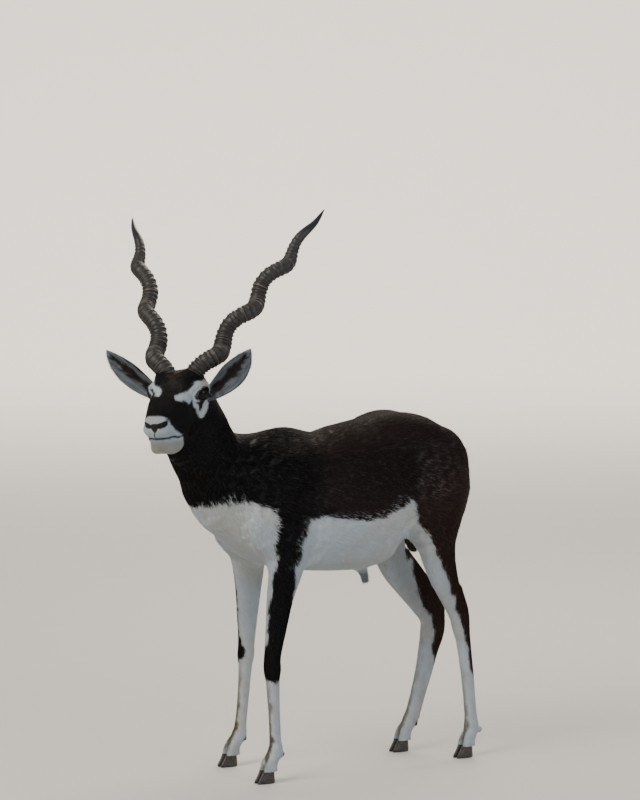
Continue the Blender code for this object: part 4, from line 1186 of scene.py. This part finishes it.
# Horns
# Two long open corkscrews of keratin over bone. Each grew as stacked rings, close at the base
# and wider apart above, and ends in a smooth polished point.
# The corkscrew, for the left (1) and the right horn (-1): how far its middle line swings from the
# axis, by what share it swings more or less near the root, and its turns. FLARED, START,
# SMOOTH_TIP and TAPER are shares of the length: the part near the root, where the first turn
# points outward, the tip without ridges, and the part that comes to a point
HORN_SWING = {1: 0.0106, -1: 0.0100}
HORN_FLARE = {1: -0.45, -1: 0.25}
HORN_FLARED = 0.16
HORN_TURNS = {1: 3.815, -1: 3.585}
HORN_START = 0.144
HORN_SMOOTH_TIP = 0.14
HORN_TAPER = 0.32
# The tube: radius at the root, how much thinner it grows, its ridges, and its mesh
HORN_RADIUS = 0.0230
HORN_THINNING = 0.30
HORN_RINGS = 46.0
HORN_RIDGE = 0.0034
HORN_STEPS = 850
HORN_SIDES = 32
HORN_INPUTS = ("Length", "Radius", "Swing", "Turns", "Start", "Flare", "Rings", "Ridge")


def horn_tree():
    """Geometry nodes that sweep a ring along a corkscrew, with ridges out to the smooth tip."""
    tree = bpy.data.node_groups.new("horn", "GeometryNodeTree")
    for name in HORN_INPUTS:
        tree.interface.new_socket(name, in_out="INPUT", socket_type="NodeSocketFloat")
    tree.interface.new_socket("Finish", in_out="INPUT", socket_type="NodeSocketMaterial")
    tree.interface.new_socket("Geometry", in_out="OUTPUT", socket_type="NodeSocketGeometry")
    given = add(tree, "NodeGroupInput").outputs
    uneven = add(tree, "ShaderNodeTexNoise", {"Detail": 1.0}, noise_dimensions="1D")
    # Growth left each ring a little lumpy round its edge
    lumpy = add(tree, "ShaderNodeTexNoise", {"Scale": 140.0, "Detail": 3.0})
    sums = {name: given[name] for name in HORN_INPUTS}
    sums |= {"index": add(tree, "GeometryNodeInputIndex").outputs[0], "uneven": uneven.outputs[0],
             "lumpy": lumpy.outputs[0]}
    ringed = 1 - HORN_SMOOTH_TIP
    for name, operation, *values in (
        # Along the middle line: t goes from 0 at the root to 1 at the tip
        ("t", "DIVIDE", "index", HORN_STEPS - 1.0),
        ("left", "SUBTRACT", 1.0, "t"),
        ("turned", "MULTIPLY", "Turns", math.tau),
        ("since start", "SUBTRACT", "t", "Start"),
        ("angle", "MULTIPLY", "turned", "since start"),
        ("below flare", "MULTIPLY_ADD", "t", -1 / HORN_FLARED, 1.0),
        ("near root", "MAXIMUM", "below flare", 0.0),
        ("grown", "MULTIPLY_ADD", "near root", "Flare", 1.0),
        ("near tip", "MULTIPLY", "left", 3.0),
        ("ended", "MINIMUM", "near tip", 1.0),
        ("form", "MULTIPLY", "grown", "ended"),
        ("swing", "MULTIPLY", "Swing", "form"),
        ("cosine", "COSINE", "angle"),
        ("sine", "SINE", "angle"),
        ("out", "MULTIPLY", "swing", "cosine"),
        ("back", "MULTIPLY", "swing", "sine"),
        ("up", "MULTIPLY", "Length", "t"),
        # The tube's girth
        ("last part", "DIVIDE", "left", HORN_TAPER),
        ("pointed", "POWER", "last part", 0.62),
        ("taper", "MINIMUM", "pointed", 1.0),
        ("thinned", "MULTIPLY_ADD", "t", -HORN_THINNING, 1.0),
        ("slender", "MULTIPLY", "taper", "thinned"),
        ("girth", "MULTIPLY", "Radius", "slender"),
        # A ring rises slowly from below and falls steeply above, like a stack of cups
        ("uneven at", "MULTIPLY", "t", 16.0),
        ("of ringed", "DIVIDE", "t", ringed),
        ("crowded", "POWER", "of ringed", 1 / 1.12),
        ("even count", "MULTIPLY", "Rings", "crowded"),
        ("stray", "MULTIPLY", "uneven", 0.9),
        ("count", "ADD", "even count", "stray"),
        ("saw", "FRACT", "count"),
        ("rising", "DIVIDE", "saw", 0.62),
        ("still to go", "SUBTRACT", 1.0, "saw"),
        ("falling", "DIVIDE", "still to go", 0.38),
        ("rise", "MINIMUM", "rising", "falling"),
        ("crest", "POWER", "rise", 1.5),
        ("dip", "SUBTRACT", 1.0, "crest"),
        # The ridges fade out toward the smooth tip
        ("before tip", "SUBTRACT", ringed, "t"),
        ("fading", "DIVIDE", "before tip", 0.10),
        ("not below", "MAXIMUM", "fading", 0.0),
        ("strength", "MINIMUM", "not below", 1.0),
        ("ridged", "MULTIPLY", "Ridge", "strength"),
        ("lower above", "MULTIPLY_ADD", "t", -0.45, 1.0),
        ("ridge", "MULTIPLY", "ridged", "lower above"),
        ("groove", "MULTIPLY", "ridge", "dip"),
        ("grooved", "SUBTRACT", "girth", "groove"),
        ("radius", "MAXIMUM", "grooved", 0.0004),
        ("lump", "SUBTRACT", "lumpy", 0.60),
        ("bulge", "MULTIPLY", "lump", 0.0009),
    ):
        wires = enumerate(sums.get(value, value) for value in values)
        sums[name] = add(tree, "ShaderNodeMath", wires, operation=operation).outputs[0]
    tree.links.new(sums["uneven at"], uneven.inputs["W"])
    spot = add(tree, "ShaderNodeCombineXYZ", {"X": sums["out"], "Y": sums["back"], "Z": sums["up"]})
    line = add(tree, "GeometryNodeMeshLine", {"Count": HORN_STEPS})
    path = add(tree, "GeometryNodeMeshToCurve", {0: line.outputs[0]})
    path = add(tree, "GeometryNodeSetPosition", {"Geometry": path.outputs[0], "Position": spot.outputs[0]})
    path = add(tree, "GeometryNodeSetCurveRadius", {"Curve": path.outputs[0], "Radius": sums["radius"]})
    circle = add(tree, "GeometryNodeCurvePrimitiveCircle", {"Resolution": HORN_SIDES, "Radius": 1.0})
    wires = {"Curve": path.outputs[0], "Profile Curve": circle.outputs[0], "Scale": sums["radius"],
             "Fill Caps": True}
    solid = add(tree, "GeometryNodeCurveToMesh", wires)
    normal = add(tree, "GeometryNodeInputNormal").outputs[0]
    offset = add(tree, "ShaderNodeVectorMath", {0: normal, "Scale": sums["bulge"]}, operation="SCALE")
    rough = add(tree, "GeometryNodeSetPosition", {"Geometry": solid.outputs[0], "Offset": offset.outputs[0]})
    real = add(tree, "GeometryNodeRealizeInstances", {0: rough.outputs[0]})
    done = add(tree, "GeometryNodeSetMaterial", {0: real.outputs[0], "Material": given["Finish"]})
    tree.links.new(done.outputs[0], add(tree, "NodeGroupOutput").inputs[0])
    return tree


# Horn keratin: dead dry fibre, dark grey-brown. Ridge crests are painted pale as a highlight and
# grooves painted dark as shade, and the smooth tip is polished nearly black by use. Its fibres are
# drawn 4 mm wide, so that they show
FIBRES_PER_METRE = 260.0
horn_finish, tree, shader = finish_of("ringed horn")
place = add(tree, "ShaderNodeTexCoord")
crest = add(tree, "ShaderNodeAttribute", attribute_name="crest")
wires = {"Vector": place.outputs["Object"], "Scale": FIBRES_PER_METRE, "Detail": 5.0}
fibre = add(tree, "ShaderNodeTexNoise", wires)
# Dark in the grooves and pale on the crests: painted shade and a painted highlight on the ridges
ramp = add(tree, "ShaderNodeValToRGB", {"Fac": crest.outputs["Fac"]},
           stops=((0.05, "0F0C0B"), (0.84, "29231F"), (1.0, "6E6455")))
vary = add(tree, "ShaderNodeMapRange", {"Value": fibre.outputs["Fac"], "From Min": 0.3, "From Max": 0.7,
                                        "To Min": 0.6, "To Max": 1.35})
tone = add(tree, "ShaderNodeHueSaturation", {"Color": ramp.outputs["Color"],
                                             "Value": vary.outputs["Result"]})
smooth = add(tree, "ShaderNodeAttribute", attribute_name="polish")
wires = {"Factor": smooth.outputs["Fac"], 6: tone.outputs["Color"], 7: linear("14161C")}
tip = add(tree, "ShaderNodeMix", wires, data_type="RGBA")
tree.links.new(tip.outputs[2], shader.inputs["Base Color"])
rough = add(tree, "ShaderNodeMapRange", {"Value": smooth.outputs["Fac"], "To Min": 0.52, "To Max": 0.30})
tree.links.new(rough.outputs["Result"], shader.inputs["Roughness"])
bump = add(tree, "ShaderNodeBump", {"Height": fibre.outputs["Fac"], "Strength": 0.3, "Distance": 0.0004})
tree.links.new(bump.outputs["Normal"], shader.inputs["Normal"])
shader.inputs["IOR"].default_value = 1.54

growth = horn_tree()
for label, s in (("left", 1), ("right", -1)):
    root, tip = head @ (HORN_ROOT * Vector((s, 1, 1))), head @ HORN_TIPS[s]
    axis = (tip - root).normalized()
    out = head.to_3x3() @ Vector((s, 0, 0))
    out = (out - axis * out.dot(axis)).normalized()
    back = axis.cross(out) * s
    stand = stood("horn", bpy.data.meshes.new("horn"))
    modifier = stand.modifiers.new("growth", "NODES")
    modifier.node_group = growth
    values = {"Length": (tip - root).length, "Radius": HORN_RADIUS, "Swing": HORN_SWING[s],
              "Turns": HORN_TURNS[s], "Start": HORN_START, "Flare": HORN_FLARE[s], "Rings": HORN_RINGS,
              "Ridge": HORN_RIDGE, "Finish": horn_finish}
    for socket in growth.interface.items_tree:
        if socket.in_out == "INPUT":
            modifier[socket.identifier] = values[socket.name]
    bpy.context.view_layer.update()
    mesh = bpy.data.meshes.new_from_object(stand.evaluated_get(bpy.context.evaluated_depsgraph_get()))
    bpy.data.objects.remove(stand)
    t = np.minimum(np.arange(len(mesh.vertices)) // HORN_SIDES / (HORN_STEPS - 1.0), 1)
    turn = math.tau * HORN_TURNS[s] * (t - HORN_START)
    swing = HORN_SWING[s] * (1 + HORN_FLARE[s] * np.maximum(1 - t / HORN_FLARED, 0))
    swing = swing * np.minimum(1, 3 * (1 - t))
    middle = np.stack([swing * np.cos(turn), swing * np.sin(turn), t * (tip - root).length], 1)
    away = np.linalg.norm(taken(mesh.vertices, "co") - middle, axis=1)
    girth = HORN_RADIUS * (1 - HORN_THINNING * t) * np.minimum(1, ((1 - t) / HORN_TAPER + 1e-6)) ** 0.62
    # How near each point lies to a ridge's crest, for the painted highlight on crests and painted shade in
    # grooves
    tops = np.clip(1 - (girth - away) / HORN_RIDGE, 0, 1)
    tops = np.where(t > 1 - HORN_SMOOTH_TIP, 0.30, tops * np.interp(t, [0.5, 0.85], [1.0, 0.8]))
    mesh.attributes.new("crest", "FLOAT", "POINT").data.foreach_set("value", tops)
    mesh.attributes.new("polish", "FLOAT", "POINT").data.foreach_set("value", np.clip((t - 0.8) / 0.1, 0, 1))
    turned = Matrix((out, back, axis)).transposed().to_4x4()
    turned.translation = root
    mesh.transform(placed @ turned)
    if turned.determinant() < 0:
        mesh.flip_normals()
    mesh.shade_smooth()
    piece = stood("ringed_horn_" + label, mesh)
    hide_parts("horn_" + label)
    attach(piece, "root")

# Ears
# Thin leaves of gristle curled into a cup that opens forward and outward. The back is dark,
# the rim black, and long pale hair lines the cup on both sides of a bare dark middle.
EAR_ROOT = Vector((0.046, 0.050, -0.032))
EAR_TIP = Vector((0.172, 0.060, 0.084))
EAR_SAG = 0.0105
EAR_STEP = 0.0011
EAR_HOLLOW_AT = 0.0085
EAR_TUFT_AREA = 1.0e-6
# From root to tip: place along the ear from -1 to 1, half the width and half the depth
EAR_OUTLINE = (
    (-1.00, 0.0100, 0.0110),
    (-0.60, 0.0195, 0.0130),
    (-0.20, 0.0270, 0.0125),
    (0.20, 0.0290, 0.0110),
    (0.60, 0.0210, 0.0085),
    (0.88, 0.0095, 0.0050),
    (1.00, 0.0020, 0.0020),
)


def ear(label, s):
    mirror = Vector((s, 1, 1))
    root, tip = EAR_ROOT * mirror, EAR_TIP * mirror
    along = (tip - root).normalized()
    opening = Vector((s * 0.25, -1.0, 0.10))
    opening = (opening - along * opening.dot(along)).normalized()
    turned = Matrix((along.cross(opening), opening, along)).transposed().to_4x4()
    turned.translation = (root + tip) / 2
    turned = head @ turned
    half = (tip - root).length / 2
    shell = [(s * EAR_SAG * (1 - t * t), 0, half * t, wide - 0.0005, deep - 0.0005)
             for t, wide, deep in EAR_OUTLINE]
    hollow = [(s * EAR_SAG * (1 - t * t), EAR_HOLLOW_AT, half * (t * 0.96 + 0.02), wide - 0.0020, deep)
              for t, wide, deep in EAR_OUTLINE[1:-1]]
    lumps = [limb(shell, 0.001, frame=turned), limb(hollow, 0.002, frame=turned, carves=True)]
    low, high = lumps[0].low + Lump.REACH - 0.003, lumps[0].high - Lump.REACH + 0.003
    points, faces = surface_of(lumps, low, high, EAR_STEP)
    mesh = bpy.data.meshes.new("ear_" + label)
    mesh.from_pydata(points, [], faces)
    mesh.shade_smooth()

    local = np.array(turned.inverted())
    steps, shares, _ = np.array(EAR_OUTLINE).T

    def in_ear(points):
        """Distance from the ear's curved middle, depth, height, place along it and its half width."""
        u, v, w = (points @ local[:3, :3].T + local[:3, 3]).T
        t = w / half
        return u - s * EAR_SAG * (1 - t * t), v, w, t, np.interp(t, steps, shares)

    u, v, w, t, wide = in_ear(points)
    facing = (taken(mesh.vertices, "normal") @ local[:3, :3].T)[:, 1]
    inside = soft(facing - 0.15, 0.5) * soft(0.95 - np.abs(u) / wide, 0.12) * soft(v + 0.012, 0.004)
    streak = np.clip(0.5 + 0.45 * ripple(np.stack([u, v, w * 0.15], 1), 0.0035, 61), 0, 1)
    lobes = 0.10 * np.sin(t * 9) + 0.05 * ripple(np.stack([u * 0, v * 0, w], 1), 0.010, 63)
    dark = soft(0.36 + lobes - np.abs(u / wide + 0.14 * s), 0.30) * soft(0.80 - t, 0.2)
    colour = np.tile(np.array(linear("1A1413")[:3]), (len(points), 1))
    paint(colour, (
        ("8F918F", (1 - inside) * soft(-0.25 - t, 0.5) * 0.8),
        ("727A81", inside * (0.55 + 0.45 * streak)),
        ("16100F", inside * dark),
        ("33241E", inside * dark * soft(ripple(points, 0.008, 67) - 0.7, 0.8) * 0.45),
    ))
    mark(mesh, colour, np.zeros(len(points)))
    mesh.materials.append(hide_finish)
    mesh.transform(placed)
    piece = stood("gristle_of_ear_" + label, mesh)
    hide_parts("ear_" + label)
    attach(piece, "root")

    # The hair on it, longer in the cup and sparse in the cup's bare middle
    chance = np.random.default_rng(40 + s)
    corners, normals, indices = corners_of(mesh)
    face, share, roots, normals = scattered(corners, normals, area_of(corners) / EAR_TUFT_AREA, chance)
    u, v, w, t, wide = in_ear(roots)
    cup = ((normals @ local[:3, :3].T)[:, 1] > 0.2) & (np.abs(u) < wide * 0.90)
    leaning = np.stack([np.where(cup, np.sign(u) * 0.35, 0.0), np.zeros(len(t)), np.ones(len(t))], 1)
    ways = leaning @ np.array(turned.to_3x3()).T
    lengths = np.where(cup, 0.009, 0.0045) * chance.uniform(0.7, 1.3, len(t))
    lengths = lengths * np.interp(t, [-1, 0.6, 1], [1, 1, 0.5])
    widths = np.where(cup, 0.0009, 0.0010) * chance.uniform(0.8, 1.2, len(t))
    keep = ~(cup & (np.abs(u / wide + 0.10 * s) < 0.3) & (t < 0.6) & (chance.uniform(0, 1, len(t)) < 0.8))
    colours = taken(mesh.attributes["markings"].data, "color", 4, np.float32)[indices[face]][:, :, :3]
    colours = (colours * share[:, :, None]).sum(1)
    spread = unwrapped(np.stack([u, v, w], 1)[keep], (0, 0, 0), (0, 0, 1), (0, 1, 0))
    tufts("hair_of_ear_" + label, roots[keep], normals[keep], ways[keep], lengths[keep], widths[keep],
          colours[keep], spread, chance, lift=0.10)


for label, s in (("left", 1), ("right", -1)):
    ear(label, s)

# Claws
# Each foot stands on two narrow pointed claws of dark horn, flat below and straight on the
# side where they meet, with faint growth lines round them.
CLAW_SIDES = 36
CLAW_INNER = 0.36
# From the sole up: height, width, and length to the toe and to the heel
CLAW = (
    (0.0000, 0.0150, 0.0285, 0.0140),
    (0.0012, 0.0160, 0.0298, 0.0150),
    (0.0060, 0.0165, 0.0288, 0.0155),
    (0.0180, 0.0158, 0.0215, 0.0148),
    (CORONET, 0.0150, 0.0158, 0.0140),
)

# Hoof horn: dense dark keratin, worn smooth and dusty. Its growth lines are 1 to 2 mm apart in
# life and are drawn 12 mm apart, so that they show, and the dust lies in spots of 6 mm
DUST_PER_METRE = 160.0
claw_finish, tree, shader = finish_of("hoof horn")
place = add(tree, "ShaderNodeTexCoord")
LINES_APART = 0.01208
wires = {"Vector": place.outputs["Object"], "Scale": math.tau / 20 / LINES_APART, "Distortion": 1.5,
         "Detail": 2.0}
lines = add(tree, "ShaderNodeTexWave", wires, bands_direction="Z")
wires = {"Vector": place.outputs["Object"], "Scale": DUST_PER_METRE, "Detail": 4.0}
dust = add(tree, "ShaderNodeTexNoise", wires)
ramp = add(tree, "ShaderNodeValToRGB", {"Fac": dust.outputs["Fac"]},
           stops=((0.35, "1B1614"), (0.75, "463C34")))
tree.links.new(ramp.outputs["Color"], shader.inputs["Base Color"])
bump = add(tree, "ShaderNodeBump", {"Height": lines.outputs["Fac"], "Strength": 0.4, "Distance": 0.0004})
tree.links.new(bump.outputs["Normal"], shader.inputs["Normal"])
shader.inputs["Roughness"].default_value = 0.42
shader.inputs["IOR"].default_value = 1.54
for label, s in (("left", 1), ("right", -1)):
    for kind, way_down in (("fore", FORE_WAY[s]), ("hind", HIND_WAY[s])):
        x, y = foot_of(way_down, s)
        for part, side in (("outer", s), ("inner", -s)):
            form = bmesh.new()
            loops = []
            for z, width, toe, heel in fan(CLAW, 3):
                loop = []
                for a in np.linspace(0, math.tau, CLAW_SIDES, endpoint=False):
                    reach = toe if math.sin(a) < 0 else heel
                    point = abs(math.sin(a)) ** 1.25 * math.copysign(1, math.sin(a))
                    out = max(math.cos(a) * width / 2, -width * CLAW_INNER)
                    away = side * (0.0018 + width * CLAW_INNER + out)
                    spot = Vector((x + away, y - 0.004 + reach * point, max(z, 0)))
                    loop.append(form.verts.new(placed @ spot))
                loops.append(loop)
            for below, above in zip(loops, loops[1:]):
                for k in range(CLAW_SIDES):
                    after = (k + 1) % CLAW_SIDES
                    form.faces.new((below[k], below[after], above[after], above[k]))
            form.faces.new(loops[0][::-1])
            form.faces.new(loops[-1])
            bmesh.ops.recalc_face_normals(form, faces=form.faces)
            mesh = bpy.data.meshes.new("claw")
            form.to_mesh(mesh)
            form.free()
            mesh.shade_smooth()
            mesh.set_sharp_from_angle(angle=math.radians(40))
            mesh.materials.append(claw_finish)
            piece = stood(f"hoof_{kind}_{label}_{part}", mesh)
            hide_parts(f"claw_{kind}_{label}_{part}")
            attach(piece, "root")
